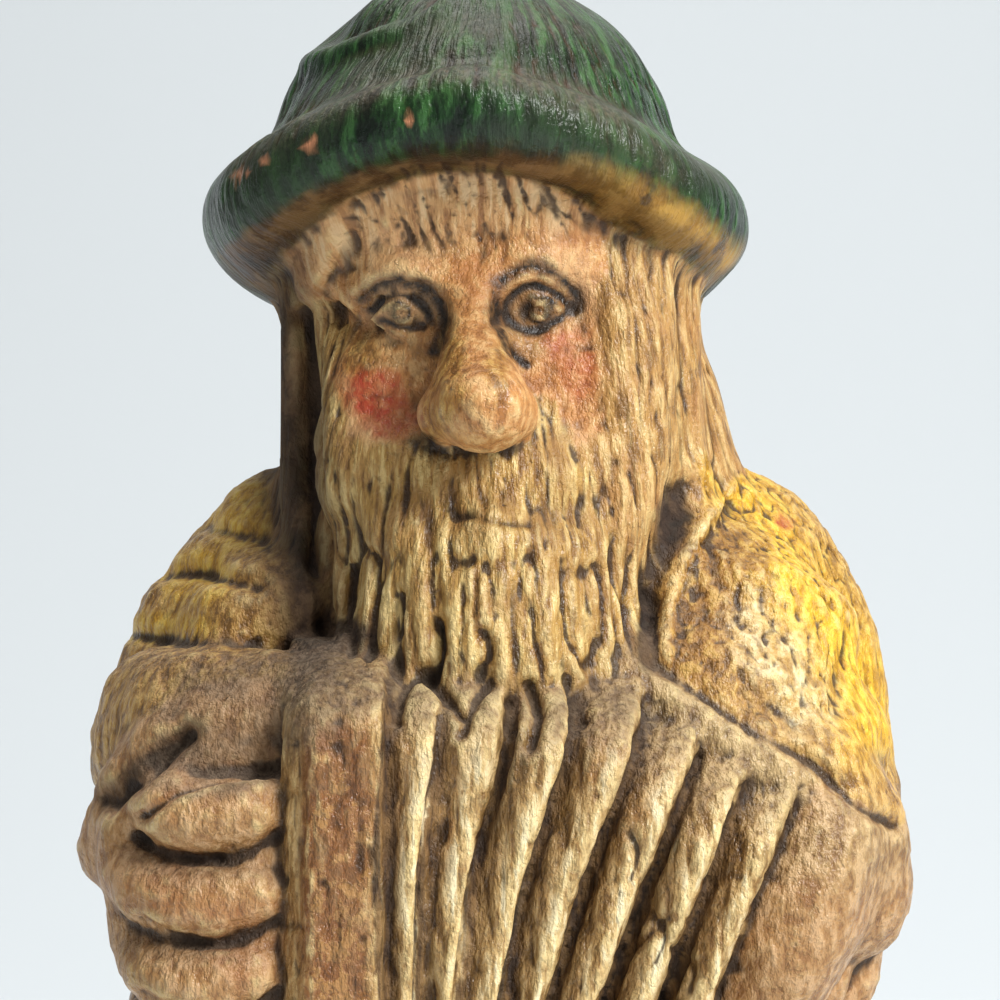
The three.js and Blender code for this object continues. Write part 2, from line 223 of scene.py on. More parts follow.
COAT = [
    [24, 18, 34, 0.5, 1.5],
    [28.5, 22, 36, 0.5, 1],
    [27.5, 21, 47, 0.5, 1],
    [26, 20, 62, 0.5, 1],
    [26.5, 19, 80, 1, 2],
    [28.5, 18, 96, 1.5, 2.5],
    [27, 16.5, 108, 1.5, 3],
    [20, 14, 117, 1.5, 2],
    [13, 11, 124, 1, 0],
]
HANGING_FOLDS = 7
SLEEVES = [
    [[-18.4, 2, 110.8, 12.2], [-26.8, 2.5, 101, 11.8], [-31, 2.5, 90, 10.8], [-30.5, -9, 93, 10],
     [-27, -19, 95, 9]],
    [[27, 2, 109.5, 12.5], [32, 3, 100, 12.5], [35, 3, 88, 11], [35.5, -6, 84, 10], [35, -13, 83, 9]],
]
LAPEL = [[24, -9, 121, 1.6], [22.3, -16, 115.5, 1.7], [18.8, -22, 107, 1.7], [17.8, -25.5, 99, 1.6]]
# The right cuff spreads over the top of the board, and the left side runs down into the hand
JOINS = [
    ("cloth", [[-34, -10, 97, 6], [-27, -20, 98, 6.5], [-18, -27, 99, 4.5]]),
    ("wood", [[14, -25, 100.6, 3.4], [21, -25.8, 97, 4.4], [27.5, -25.6, 92.2, 5.4], [32, -23.8, 88.4, 6]]),
    ("hands", [[33, -23, 91, 6.8], [36.4, -19.6, 85, 7.6], [37.4, -17, 78, 7.6]]),
    ("cloth", [[21.5, -3, 119, 7.5], [28, -2, 110, 10]]),
    ("cloth", [[19, -20.4, 106, 3.6], [26, -19.6, 103, 6], [32.5, -16.4, 99, 6.8], [37, -13, 93, 6.6]]),
    ("cloth", [[22, -17.4, 110.5, 4], [28, -16.6, 108, 6], [34, -13.4, 104.5, 6.4]]),
    ("cloth", [[20, -23, 103, 3.5], [26, -23.4, 100.4, 4.6], [31.5, -21.4, 97.4, 5], [36, -18, 94, 5.5]]),
    ("hair", [[19, -4, 130, 7], [20.5, -4, 122, 7.6], [21.5, -4, 119, 7.5]]),
]
BEHIND_LAPEL = [[21.4, -13, 121, 3.6], [20.4, -16.6, 114, 3.6], [19.4, -20.6, 106, 3.2],
                [18.4, -24, 100, 2.6]]


def add_coat():
    def place(angle, share):
        wide, deep, z, x, y = along(COAT, share)
        fold = 1 + 0.05 * np.sin(HANGING_FOLDS * angle + 0.6) * max(0, 1 - share * 1.6)
        return x + np.cos(angle) * wide * fold, y + np.sin(angle) * deep * fold, z

    soft("cloth", stacked(60, 120, place))


def add_sleeves():
    soft("cloth", *limbs(*SLEEVES, sides=32, steps=40, facing=SIDEWAYS))
    for centre, radii, lean in [
        ([-21.5, -7.5, 106], [11, 12, 8], -0.5),
        ([-28, -7.5, 98], [11, 12, 7], -0.5),
        ([24, -9, 103], [14, 13.5, 15], -0.3),
    ]:
        soft("cloth", egg(centre, radii, lean))
    crisp("cloth", limb(LAPEL))
    soft("cloth", limb(BEHIND_LAPEL))
    for region, stops in JOINS:
        soft(region, *limbs(stops))


# Hat

HAT_AXIS = np.array([-0.5, -3.0])
HAT_SWEEP = 8.4  # how much higher the brim is in front than at the sides
HAT_OUTLINE = [
    [13, 139, 1.4],
    [22, 140.5, 1.4],
    [25.5, 142.4, 1.15],
    [28.4, 145.2, 1],
    [29.5, 148.4, 1],
    [28.9, 151.6, 0.95],
    [26.3, 154.4, 0.8],
    [23.2, 156, 0.6],
    [21.4, 157.8, 0.45],
    [20.9, 160.4, 0.3],
    [19.3, 164, 0.2],
    [16.6, 167.6, 0.1],
    [12.6, 171, 0],
    [7, 173.9, 0],
    [1.5, 175, 0],
]


def add_hat():
    def place(angle, share):
        reach, z, swept = curve(HAT_OUTLINE, share)[0]
        front = -np.sin(angle)
        rise = 2.1 if z < 143 else 3
        sweep = np.where(front > 0, HAT_SWEEP * np.abs(front) ** rise, 2 * front)
        droop = 1.1 * np.maximum(0, np.cos(angle)) ** 2
        ripple = 1 + 0.02 * np.sin(3 * angle + 0.5) + 0.012 * np.sin(7 * angle)
        across = z - (167 + 6 * np.cos(angle))
        pinch = 2.2 * np.exp(-((across / 2.4) ** 2)) * np.maximum(0, np.cos(angle + 2)) ** 3 if z > 159 else 0
        out = reach * ripple - pinch
        x = HAT_AXIS[0] + np.cos(angle) * out
        y = HAT_AXIS[1] + np.sin(angle) * out
        return x, y, z + (sweep - droop) * swept

    soft("hat", stacked(70, 160, place))


# Head

SOCKETS = [([-7.4, -24.6, 136.8], [4.6, 3.6, 3.6]), ([6.6, -24.6, 137.4], [4.6, 3.6, 3.7])]
EYES = [(-7.4, 137), (6.4, 137.4)]
UPPER_LID = [[-3.2, -20.4, -0.2, 0.4], [-0.4, -21.9, 1.7, 0.6], [3.2, -20.5, -0.4, 0.4]]
LOWER_LID = [[-2.6, -20.6, -0.9, 0.3], [0, -21.2, -1.7, 0.4], [2.8, -20.6, -0.9, 0.3]]
BROWS = [[-12.6, -18, 139, 1.6], [-8, -21.2, 141.6, 2.3], [0, -21.9, 139.8, 2.4], [7.6, -21.2, 142, 2.3],
         [13, -17.6, 139.4, 1.6]]
BRIDGE = [[-0.2, -21, 141, 2.6], [-0.1, -24.6, 135, 3.4], [0.3, -29, 129.6, 4.6]]
RIGHT_WHISKERS = [[-13, -14.5, 134, 3], [-13, -16.6, 127, 4], [-12.4, -18.6, 120, 4.6]]
LEFT_TEMPLE = [[13.6, -13.5, 148, 5], [14.4, -15.6, 138, 5.4], [14.6, -17, 127, 5.8], [14, -18.6, 116, 6]]
# Skull, forehead, cheeks, jowls, and the nose with its wings: centre and radii
FACE = [
    ([1, -4, 131], [18.5, 19.5, 24]),
    ([1, -9, 144], [16.5, 13.6, 14]),
    ([-7.8, -17.2, 129.4], [7.4, 5, 6.4]),
    ([9.2, -17.8, 129.4], [8.2, 5, 7]),
    ([-7.6, -18.8, 122.4], [7.4, 5.8, 6.4]),
    ([10.6, -18.6, 122.4], [7.2, 5.6, 6.4]),
    ([0.9, -31.4, 127.5], [5.2, 5.8, 4.8]),
    ([-3.6, -28, 126.8], [2.8, 3.4, 3]),
    ([4.4, -28, 127], [2.5, 3.4, 2.8]),
]


def add_head():
    soft("skin", *[egg(centre, radii) for centre, radii in FACE])
    soft("skin", limb(BROWS, steps=40))
    soft("beard", *limbs(RIGHT_WHISKERS))
    soft("hair", *limbs(LEFT_TEMPLE))
    soft("skin", *limbs(BRIDGE))
    soft("beard", egg([1.6, -21.2, 120.6], [12, 6.4, 5.4]))
    for x, z in EYES:
        crisp("skin", egg([x, -20.4, z], [2.2, 1.4, 1.5]))
        for lid in UPPER_LID, LOWER_LID:
            crisp("skin", limb(np.array(lid) + [x, 0, z, 0]))
    soft("beard", limb([[-2.4, -26.2, 114.6, 1.3], [2.2, -27.8, 114.2, 1.9], [6.8, -26.4, 114.8, 1.3]]))


# Hair and beard

BEARD_TIPS = [
    [-12.6, 103.5, 2.2], [-9.6, 103, 2.2], [-6.4, 99.6, 2.6], [-2.4, 98, 2.6], [1.6, 99.5, 3], [5, 98, 3],
    [8.6, 97.5, 2.8], [11.6, 99, 2.4], [14.2, 101, 2.2],
]
BEARD = [
    [11, 22, 100, 1.5, -8],
    [15.5, 23, 105, 1.5, -7.5],
    [16.3, 21.8, 113, 1.5, -7],
    [16.5, 19.8, 122, 1.5, -6.5],
    [16.6, 17, 131, 1.5, -5.5],
    [16.4, 13.5, 137, 1.5, -4],
]
HAIR = [
    [17, 15, 108, 1, 5],
    [19, 17, 114, 1, 3],
    [20, 19.5, 126, 1, 0],
    [20.5, 20.5, 138, 1, -1],
    [19, 19, 150, 0, -2],
]
LEFT_LOCKS = [
    [[-19, -6, 150, 3.4], [-17, -7, 132, 3.2], [-16, -9, 125, 3], [-17, -13, 116, 3], [-16.4, -15, 109, 1.6]],
    [[-19, -1, 150, 4], [-17, -2, 133, 3.8], [-16, -4, 127, 3.4], [-17.6, -6, 120, 4], [-15, -16, 104, 2.2]],
    [[-17.4, -10, 150, 3.4], [-17.6, -10.5, 136, 3.2], [-17.4, -10.5, 122, 3.4], [-17, -13, 108, 3],
     [-15.6, -15, 102, 2]],
]
TEMPLE_LOCKS = [
    [[-8.6, -22, 152, 1.5], [-12.6, -20.6, 148, 1.6], [-15.6, -18.6, 143.6, 1.4], [-16.4, -17.6, 140.6, 0.9]],
    [[-12, -19.8, 151.6, 1.5], [-16, -17.4, 147, 1.6], [-18, -15.4, 142.6, 1.5], [-17.6, -15.4, 139.4, 1.1]],
    [[-5, -23, 151.6, 1.3], [-8.6, -22.4, 148, 1.2], [-11.4, -21, 144.6, 0.7]],
]
RIGHT_LOCKS = [
    [[18, -12, 151, 3], [17.6, -16.5, 137, 3.2], [17, -18.5, 124, 3.4], [16.4, -20.5, 112, 2.8],
     [15.6, -21, 105, 2]],
    [[20.4, -7, 151, 3.4], [19.8, -10.5, 136, 4], [19.8, -12.5, 124, 4.4], [21, -15, 114, 2.6]],
    [[20, -1, 151, 4], [19.4, -3, 135, 5], [20.5, -4, 124, 6], [24, -6, 117, 4.5]],
]
FRINGE = 15  # locks over the forehead


def add_hair():
    def place(angle, share):
        wide, deep, z, x, y = along(HAIR, share)
        forward = np.where(np.sin(angle) > 0, 1, 0.55)
        return x + np.cos(angle) * wide, y + np.sin(angle) * deep * forward, z

    # How far forward the forehead reaches
    def depth(x):
        return -4 - 20.2 * np.sqrt(max(0.05, 1 - ((x - 1) / 20.5) ** 2))

    soft("hair", stacked(40, 120, place), *limbs(*LEFT_LOCKS, *RIGHT_LOCKS, sides=20, steps=30))
    for i in range(FRINGE):
        across = i / (FRINGE - 1) * 2 - 1
        drop = 3.2 + 10.5 * abs(across) ** 2 + 1.1 * np.sin(i * 2.3)
        root, tip = 1 + across * 15.5, 1 + across * 18 - 1.8
        middle = (root + tip) / 2
        soft("skin" if abs(across) < 0.8 else "hair", limb([
            [root, depth(root) + 2.3, 154 - 8 * across**2, 1.7],
            [middle, depth(middle) + 1.1, 151 - 7 * across**2, 1.5],
            [tip, depth(tip) + 1.3, 150 - drop - 7 * across**2, 1],
        ], flat=0.8))
    soft("skin", *[limb(lock) for lock in TEMPLE_LOCKS])


def add_beard():
    def place(angle, share):
        wide, deep, z, x, y = along(BEARD, share)
        return x + np.cos(angle) * wide, y + np.sin(angle) * deep, z

    backing = [[-11.5, -23.5, 102, 4.4], [1.5, -26.6, 100.4, 5], [14.6, -23.5, 102, 4.4]]
    soft("beard", stacked(50, 120, place), *limbs(backing))
    # The tips, from the gnome's right: across, height and thickness
    for x, tip, thick in BEARD_TIPS:
        across = (x - 1.5) / 15
        depth = -7.5 - 22.4 * np.sqrt(1 - (across * 0.9) ** 2)
        sway = chance.uniform(-0.8, 0.8)
        soft("beard", limb([
            [x, depth + 1.6, tip + 16, thick],
            [x + sway, depth + 0.3, tip + 9, thick * 1.15],
            [x - 0.4 * sway, depth - 1, tip + 3.6, thick],
            [x + 0.5 * sway, depth - 1.6, tip + 0.8, thick * 0.6],
        ]))


# Accordion and hands

# Rows across the bellows: height, the first ridge's place, the pitch, and how far the middle ones bow
FOLD_ROWS = np.array([
    [50, -7, 4.5, -1.8],
    [70, -6.8, 4.65, -2.1],
    [82, -6.6, 5.45, -1.6],
    [93.6, -5.4, 6.0, 0],
    [106, -4.8, 6.5, 0],
])
FOLD_SHIFTS = [-0.6, -1.0, -0.4, -0.2, 0.1, 0.5, -0.3]  # at the top of the bellows
BELLOWS = {"bottom": 54, "front": -37.6, "grooves": 4.4, "back": -12}


def ridge(place, z):
    """The middle of ridge number place, from 1, and the distance to the next, at height z."""
    first, pitch, bow = [np.interp(z, FOLD_ROWS[:, 0], FOLD_ROWS[:, i]) for i in (1, 2, 3)]
    share = (place - 1) / (FOLDS - 1)
    uneven = np.interp(place, np.arange(1, FOLDS + 1), FOLD_SHIFTS) * np.clip((z - 70) / 18, 0, 1)
    return first + (place - 1) * pitch + bow * 4 * share * (1 - share) + uneven, pitch


def ridge_front(place):
    return BELLOWS["front"] + 0.13 * max(0, place - 2) ** 1.9


# From the groove on a ridge's right side, over the ridge, to the groove on its left: across, and two depths
RIDGE_ACROSS = np.array([-0.5, -0.47, -0.41, -0.3, -0.16, -0.03, 0.1, 0.22, 0.33, 0.41, 0.46, 0.5])
RIDGE_DEPTH = np.array([1.2, 0.8, 0.5, 0.36, 0.24, 0.12, 0.02, 0, 0.07, 0.32, 0.8, 1.2])
ROUNDER_DEPTH = np.array([1.2, 0.62, 0.26, 0.1, 0.04, 0.01, 0, 0.01, 0.05, 0.2, 0.55, 1.2])  # near the top
RIDGE_OVERLAP = 1.12


def add_fold(place):
    front, back, bottom = ridge_front(place), BELLOWS["back"], BELLOWS["bottom"]
    top = 104 - 0.28 * (place - 1) ** 1.9
    turns = 0.8 if place < 5 else 0.68
    rings = []
    for rise in np.linspace(0, 1, 60):
        z = bottom + (top - bottom) * rise
        x, pitch = ridge(place, z)
        drawn_in = 11 * max(0, (rise - turns) / (1 - turns)) ** 2 + 3 * max(0, (0.1 - rise) / 0.1) ** 2
        x += 0.16 * np.sin(rise * 9 + place * 1.7)
        y = front + drawn_in + 0.3 * np.sin(rise * 14 + place * 2.3)
        depth = RIDGE_DEPTH + (ROUNDER_DEPTH - RIDGE_DEPTH) * smooth(0.6, 0.95, rise)
        ring = [[x - 0.5 * pitch, back, z]]
        for across, deep in zip(RIDGE_ACROSS, depth * BELLOWS["grooves"]):
            ring.append([x + RIDGE_OVERLAP * across * pitch, y + deep, z])
        rings.append(ring + [[x + 0.5 * pitch, back, z]])
    crisp("wood", skin(rings))


def add_board(heights, edge):
    rings = []
    for z in heights:
        x, half, front = edge(z)
        rings.append([
            [x - half, BELLOWS["back"], z],
            [x - half, front + CHAMFER * 1.2, z],
            [x - half + CHAMFER, front, z],
            [x + half - 0.5, front, z],
            [x + half, front + 0.6, z],
            [x + half, BELLOWS["back"], z],
        ])
    crisp("wood", skin(rings))


BOARD_BOTTOM, CHAMFER, SHOULDER, UNDER_HAND = 53, 2.8, 96.5, 82


def add_accordion():
    for i in range(FOLDS):
        add_fold(i + 1)
    front = BELLOWS["front"]
    add_board(
        [BOARD_BOTTOM, 70, SHOULDER, 98.5, 100.5, 102.5, 104.5],
        lambda z: (-13.6, 5, front - 0.4 + 0.2 * max(0, z - SHOULDER) ** 2),
    )
    add_board(
        [BOARD_BOTTOM + 1, UNDER_HAND, 90],
        lambda z: (ridge(FOLDS + 1, z)[0] - 0.6, 3, front + 7 + max(0, z - UNDER_HAND) * 1.2),
    )


RIGHT_FINGER, LEFT_FINGER = 4.1, 3.5  # radii
FINGER_HEIGHTS = [88.2, 79.8, 72, 65.6]  # of the gnome's right hand
# The back of that hand, and what fills the gaps behind its fingers
FIST = [
    ([-29, -20.5, 79], [7.4, 9, 14]),
    ([-33.2, -22.5, 83.5], [5.4, 7.4, 7]),
    ([-33.6, -26, 85.4], [4.2, 4.4, 5.4]),
    ([-31.6, -24.5, 76], [5.4, 6.4, 7]),
]
THUMB = [[-36.5, -19, 83, 4.6], [-32.5, -23, 90.5, 5], [-25.5, -26.5, 95.6, 4.9], [-17, -28.5, 98, 3.8]]
UNDER_THUMB = [[-31, -25, 89, 4.6], [-25, -28, 91, 4.6], [-19, -28.5, 92, 4]]
BEHIND_FINGERS = [[-21.4, -31, 88, 4.3], [-21.4, -31, 64, 4.3]]


def add_hands():
    for i, z in enumerate(FINGER_HEIGHTS):
        inset = 2.4 * abs(i - 1.2) ** 0.7 - 0.6
        crisp("hands", limb([
            [-34 + inset, -21, z + 2.6, RIGHT_FINGER],
            [-33 + inset, -27.6, z + 1.4, RIGHT_FINGER],
            [-28.3, -32, z - 0.4, RIGHT_FINGER + 0.1],
            [-22, -33, z + 0.4, RIGHT_FINGER - 0.2],
        ], sides=24, steps=30, facing=UP))
    soft("hands", *[egg(centre, radii) for centre, radii in FIST], *limbs(UNDER_THUMB, BEHIND_FINGERS, THUMB))
    soft("hands", egg([31.6, -24, 77], [7.4, 10, 16.5], lean=0.42))
    for i in range(FINGERS):
        x, y = 40 - i * 3.5, -13 - i * 4.8
        crisp("hands", limb([
            [x, y, 75, LEFT_FINGER],
            [x - 3, y - 1.2, 67, LEFT_FINGER],
            [x - 8, y + 0.6, 58.5 + abs(i - 1.5), LEFT_FINGER - 0.6],
        ], sides=20))


# Meshes as numbers


def placed(name, data):
    """A new object in the scene."""
    made = bpy.data.objects.new(name, data)
    bpy.context.scene.collection.objects.link(made)
    return made


def numbers(items, what, width, kind=np.float32):
    """A row of numbers for each item of a mesh."""
    flat = np.empty(len(items) * width, kind)
    items.foreach_get(what, flat)
    return flat.reshape(-1, width)


def points_of(mesh):
    return from_metres(numbers(mesh.vertices, "co", 3).astype(float))


def normals_of(mesh):
    return numbers(mesh.vertex_normals, "vector", 3).astype(float)


def edges_of(mesh):
    return numbers(mesh.edges, "vertices", 2, np.int32)


def place_points(mesh, points):
    mesh.vertices.foreach_set("co", to_metres(points).astype(np.float32).ravel())
    mesh.update()


def spread(values, edges, times, share=1.0):
    """Each value moved towards the mean of its neighbours' values, several times."""
    count = len(values)
    a, b = edges[:, 0], edges[:, 1]
    neighbours = np.bincount(a, minlength=count) + np.bincount(b, minlength=count)
    values = values.reshape(count, -1).astype(float)
    for _ in range(times):
        mean = np.empty_like(values)
        for i in range(values.shape[1]):
            column = values[:, i]
            mean[:, i] = np.bincount(a, column[b], count) + np.bincount(b, column[a], count)
        mean /= np.maximum(neighbours, 1)[:, None]
        values = values + (mean - values) * share
    return values


def applied(made):
    """The object with its modifiers applied."""
    graph = bpy.context.evaluated_depsgraph_get()
    mesh = bpy.data.meshes.new_from_object(made.evaluated_get(graph))
    made.modifiers.clear()
    old = made.data
    made.data = mesh
    bpy.data.meshes.remove(old)
    return made


def joined(forms):
    """The points and faces of all the forms."""
    points, faces, count = [], [], 0
    for form_points, form_faces in forms:
        points.append(form_points)
        faces.extend([[i + count for i in face] for face in form_faces])
        count += len(form_points)
    return np.vstack(points), faces


def fused(name, forms, voxel):
    """One mesh from overlapping forms."""
    mesh = bpy.data.meshes.new(name)
    points, faces = joined(forms)
    mesh.from_pydata(to_metres(points).tolist(), [], faces)
    made = placed(name, mesh)
    remesh = made.modifiers.new("fuse", "REMESH")
    remesh.mode = "VOXEL"
    remesh.voxel_size = voxel * MM
    return applied(made)


def noise(places, seed=0):
    """Smooth noise from -1 to 1 at places given in cells of the noise."""
    cell = np.floor(places).astype(np.int64)
    t = places - cell
    t = t * t * t * (t * (t * 6 - 15) + 10)
    total = np.zeros(len(places))
    for corner in np.ndindex(2, 2, 2):
        c = cell + corner
        h = (c[:, 0] * 73856093) ^ (c[:, 1] * 19349663) ^ (c[:, 2] * 83492791) ^ (seed * 2654435761)
        h = ((h & 0xFFFFFFFF) ^ ((h >> 13) & 0x7FFFF)) * 1274126177 & 0xFFFFFFFF
        h ^= h >> 16
        weight = np.prod(np.where(corner, t, 1 - t), axis=1)
        total += weight * ((h & 0xFFFF) / 32767.5 - 1)
    return total


def tresses(angle, count, sway):
    """Rounded strands side by side round an axis: 0 in the grooves between them and 1 on their crests."""
    return np.abs(np.sin(count * angle / 2 + sway))


def gouged(places, seed, width=0.22):
    """Narrow wandering grooves, at places in cells: 1 in a groove and 0 between them."""
    field = noise(places, seed) + 0.35 * noise(places * 2.1, seed + 1)
    return np.exp(-((field / width) ** 2))


def round_axis(points, centre, reach):
    """Places on a cylinder of radius reach round an upright axis, for strokes that run up and down."""
    x, y = points[:, 0] - centre[0], points[:, 1] - centre[1]
    far = np.hypot(x, y) + 1e-6
    return np.stack([x / far * reach, y / far * reach, points[:, 2]], 1)


# Where things are in the front view, as seen from in front of the face

EYE_HEIGHT = 118.5
HEAD_AXIS = (1, -3)
HEAD_REACH = 0.021  # in metres
IRISES = [(-7.35, 137.1), (6.4, 137.4)]
CAMERA = {"x": 2.5, "y": -325.0, "focus": 300.0}


def seen(points):
    """Each point's place across and up the front view, in millimetres at the depth of the face."""
    far = (points[:, 1] - CAMERA["y"]) / CAMERA["focus"]
    across = CAMERA["x"] + (points[:, 0] - CAMERA["x"]) / far
    return np.stack([across, EYE_HEIGHT + (points[:, 2] - EYE_HEIGHT) / far], 1)


def near_line(places, path, width):
    """1 on a smooth line through path in the front view, and 0 past about twice the width from it."""
    line = curve(np.asarray(path, float), np.linspace(0, 1, 8 * len(path)))
    low, high = line.min(0) - 3 * width, line.max(0) + 3 * width
    inside = np.nonzero(((places > low) & (places < high)).all(1))[0]
    value = np.zeros(len(places))
    if len(inside):
        spot = places[inside]
        nearest = np.full(len(inside), 1e9)
        for a, b in zip(line[:-1], line[1:]):
            way = b - a
            t = np.clip(((spot - a) @ way) / (way @ way + 1e-9), 0, 1)
            nearest = np.minimum(nearest, np.linalg.norm(spot - (a + t[:, None] * way), axis=1))
        value[inside] = np.exp(-((nearest / width) ** 2))
    return value


def near_spot(places, centre, radii):
    """1 inside an ellipse in the front view, fading to 0 outside it."""
    return 1 - smooth(0.7, 1.3, np.hypot(*((places - centre) / radii).T))


# Lines of the face, in the front view

BROW_LINES = [
    [[-11.3, 138.6], [-9.7, 139.8], [-7.7, 140.3], [-5.6, 140], [-4, 138.9], [-3.2, 137.3], [-3.1, 135.6],
     [-4, 133.4]],
    [[2.1, 136.4], [2, 138.2], [2.6, 140.2], [4.5, 141.7], [6.6, 141.7], [8.6, 140.7], [10.2, 138.8],
     [10, 137.6]],
]
LID_LINES = [
    [[-10.4, 137.5], [-8.8, 138.6], [-7.2, 138.9], [-5.8, 138.5], [-4.7, 137.3], [-4.3, 136.2]],
    [[3.1, 138.2], [4.3, 139.4], [5.9, 139.9], [7.6, 139.5], [9.1, 138.3]],
]
UNDER_LINES = [
    [[-9.4, 136.6], [-7.6, 135.8], [-5.4, 135.9]],
    [[3, 137.4], [3.9, 136], [5.4, 135.4], [7, 135.6], [8.5, 136.6], [9.6, 137.8]],
    [[2.2, 136.6], [2.9, 134.5], [3.8, 133.1], [5.2, 132]],
]
MOUTH_LINE = [[-2.3, 117], [-0.4, 116.9], [1.6, 116.5], [3.6, 116.2], [5.4, 116.1]]
# The plane over the fold tops: across, and the height of its foot; and its upper edge, where the coat begins
PLANE_FOOT = [[-8, 5, 12, 18, 24.5, 30, 34], [100, 100, 99, 97, 93.5, 90, 86]]
PLANE_TOP = [[14, 105], [16.5, 103.3], [22.5, 99.3], [28.5, 95.2], [33.5, 92.4], [38, 88.4], [42, 86]]
CUFF_GAP = [[-37, 88.5], [-33, 92], [-29, 95]]
FINGER_GAP = np.array([[-33.6, 2.2], [-31.6, 1], [-28.5, 0], [-25, -0.2], [-22, 0.7], [-19.6, 2.2]])
FINGER_GAPS = [
    FINGER_GAP + [0, EYE_HEIGHT + ((above + below) / 2 - EYE_HEIGHT) * 1.03 - 0.3]
    for above, below in zip(FINGER_HEIGHTS[:-1], FINGER_HEIGHTS[1:])
]
# Gaps between the beard's tips, and round the tops of the folds: a line, its width and its depth
BEARD_GAPS = [
    ([[-12.4, 112], [-12.9, 107], [-12.3, 103.4]], 0.5, 1),
    ([[-10.4, 113], [-10.2, 108], [-10.7, 103]], 0.5, 1),
    ([[-7.8, 109], [-8.1, 105.5], [-7.6, 101]], 0.6, 1.2),
    ([[-4.1, 106.2], [-3.9, 103.4], [-4.5, 101]], 0.65, 1.7),
    ([[0.8, 105.2], [1.2, 103.2], [0.5, 101]], 0.65, 1.6),
    ([[-8, 96.5], [-7.4, 99.4], [-5.5, 101.4], [-3.2, 99.4], [-1.6, 97.2]], 0.55, 1.5),
    ([[-1.4, 95], [0, 98.6], [1.4, 100]], 0.5, 1.2),
    ([[5.4, 94], [6.2, 97.4], [5.6, 99.8]], 0.7, 1.6),
    ([[9.4, 100.4], [10.2, 98.2], [10.6, 96.6]], 0.6, 1.2),
    ([[12.6, 112], [12.9, 108], [12.3, 104]], 0.5, 0.5),
]
CREASES = [
    ([[-33, 111], [-28, 111.5], [-22, 110.2]], 0.9, 1.1),
    ([[-30, 117], [-25, 115.5], [-21, 114.5]], 0.9, 0.6),
    ([[-35, 105.2], [-29, 104.4], [-22, 104]], 0.8, 0.8),
    ([[20.8, 119.4], [20.2, 117], [18.6, 112.8], [17, 110]], 1.5, 1.5),
    ([[17.4, 108.4], [17, 104.5], [17.6, 101]], 1.0, 1.9),
    ([[38, 106], [36.5, 100], [36.8, 94]], 0.9, 0.6),
]
NOTCHES = [
    ([[15.4, 85], [16.2, 82.6], [15.6, 80.6]], 0.5, 0.5),
    ([[17.4, 77.4], [18.9, 75], [17.9, 72.2]], 0.5, 0.5),
    ([[15, 73.2], [16.6, 74.4], [19, 76.6]], 0.5, 0.5),
    ([[19.8, 73.8], [21.6, 71.4], [21, 69]], 0.5, 0.5),
]
LAPEL_EDGE = [[25.4, 120.1], [23.4, 116.9], [20.7, 112.3], [19.3, 107.8], [18.9, 103.2], [19.3, 99.6]]
NECK_GAP = [[-17.6, 137], [-16.9, 128], [-16.7, 118], [-15.6, 108], [-14.8, 102]]
CROWN_CREASE = [[-17, 164.4], [-11, 166.8], [-5.5, 168.6], [-2, 171.6], [2, 173.4]]
CROWN_LIP = [[-17.2, 162.4], [-10.4, 164.8], [-6, 165.6], [-2.2, 169.4]]
UNDER_LIP = [[-0.6, 112.6], [2.2, 112], [5, 112.6]]
ABOVE_FINGER = [[-33.4, 86.8], [-29.6, 89.8], [-25, 91.2], [-20, 91.8]]
# Grooves in the front view: the regions they cross, and each line's width and depth, below 0 if raised
GROOVES = [
    ("beard wood", BEARD_GAPS),
    ("hair beard", [(NECK_GAP, 0.9, 2.4)]),
    ("hat", [(CROWN_LIP, 1, -0.5), (CROWN_CREASE, 1, 1.4)]),
    ("cloth", [(LAPEL_EDGE, 0.75, -0.9)]),
    ("cloth hair", CREASES),
    ("skin", [(path, 0.7, 0.4) for path in BROW_LINES]),
    ("skin", [(path, 0.45, 0.25) for path in LID_LINES + UNDER_LINES]),
    ("beard skin", [(MOUTH_LINE, 0.5, 0.4)]),
    ("beard", [(UNDER_LIP, 0.9, 0.3)]),
    ("wood", NOTCHES),
    ("hands", [(ABOVE_FINGER, 0.8, 1.1)] + [(path, 0.6, 0.6) for path in FINGER_GAPS]),
    ("hands cloth", [(CUFF_GAP, 1.1, 1.8)]),
    ("ground legs boots cloth wood hands hair skin hat", [(PLANE_TOP[1:], 0.7, 0.7)]),
]
# The lumps of each region's surface: height, size and seed
LUMPS = [
    ("hat", 0.4, 7, 21),
    ("cloth", 0.3, 5, 31),
    ("cloth", 0.16, [1.4, 1.4, 1.8], 32),
    ("skin", 0.14, 2.4, 41),
    ("skin", 0.09, 1, 42),
    ("hands", 0.24, 3.6, 43),
    ("hands", 0.12, 1.3, 44),
    ("wood", 0.2, [1.8, 1.8, 5], 51),
    ("wood", 0.1, 1.3, 52),
    ("legs", 0.4, [4, 4, 7], 61),
    ("legs", 0.1, 1.2, 62),
    ("boots", 0.18, 2.4, 63),
    ("ground", 0.5, 5, 64),
    ("ground", 0.2, 1.8, 65),
]
# Narrow grooves scattered over it: depth, size and seed
SCRATCHES = [
    ("hands", 0.08, 1.6, 45),
    ("skin", 0.1, [1.8, 1.8, 2.6], 46),
    ("wood", 0.2, [1.2, 1.2, 4.2], 53),
]


def label(points):
    """The region of each point: that of the nearest form."""
    regions, forms = zip(*soft_forms, *crisp_forms)
    numbered = [REGIONS.index(region) for region in regions]
    region_of_face = np.repeat(numbered, [len(faces) for _, faces in forms])
    all_points, all_faces = joined(forms)
    tree = BVHTree.FromPolygons(all_points.tolist(), all_faces)
    return region_of_face[[tree.find_nearest(Vector(point))[2] for point in points.tolist()]]


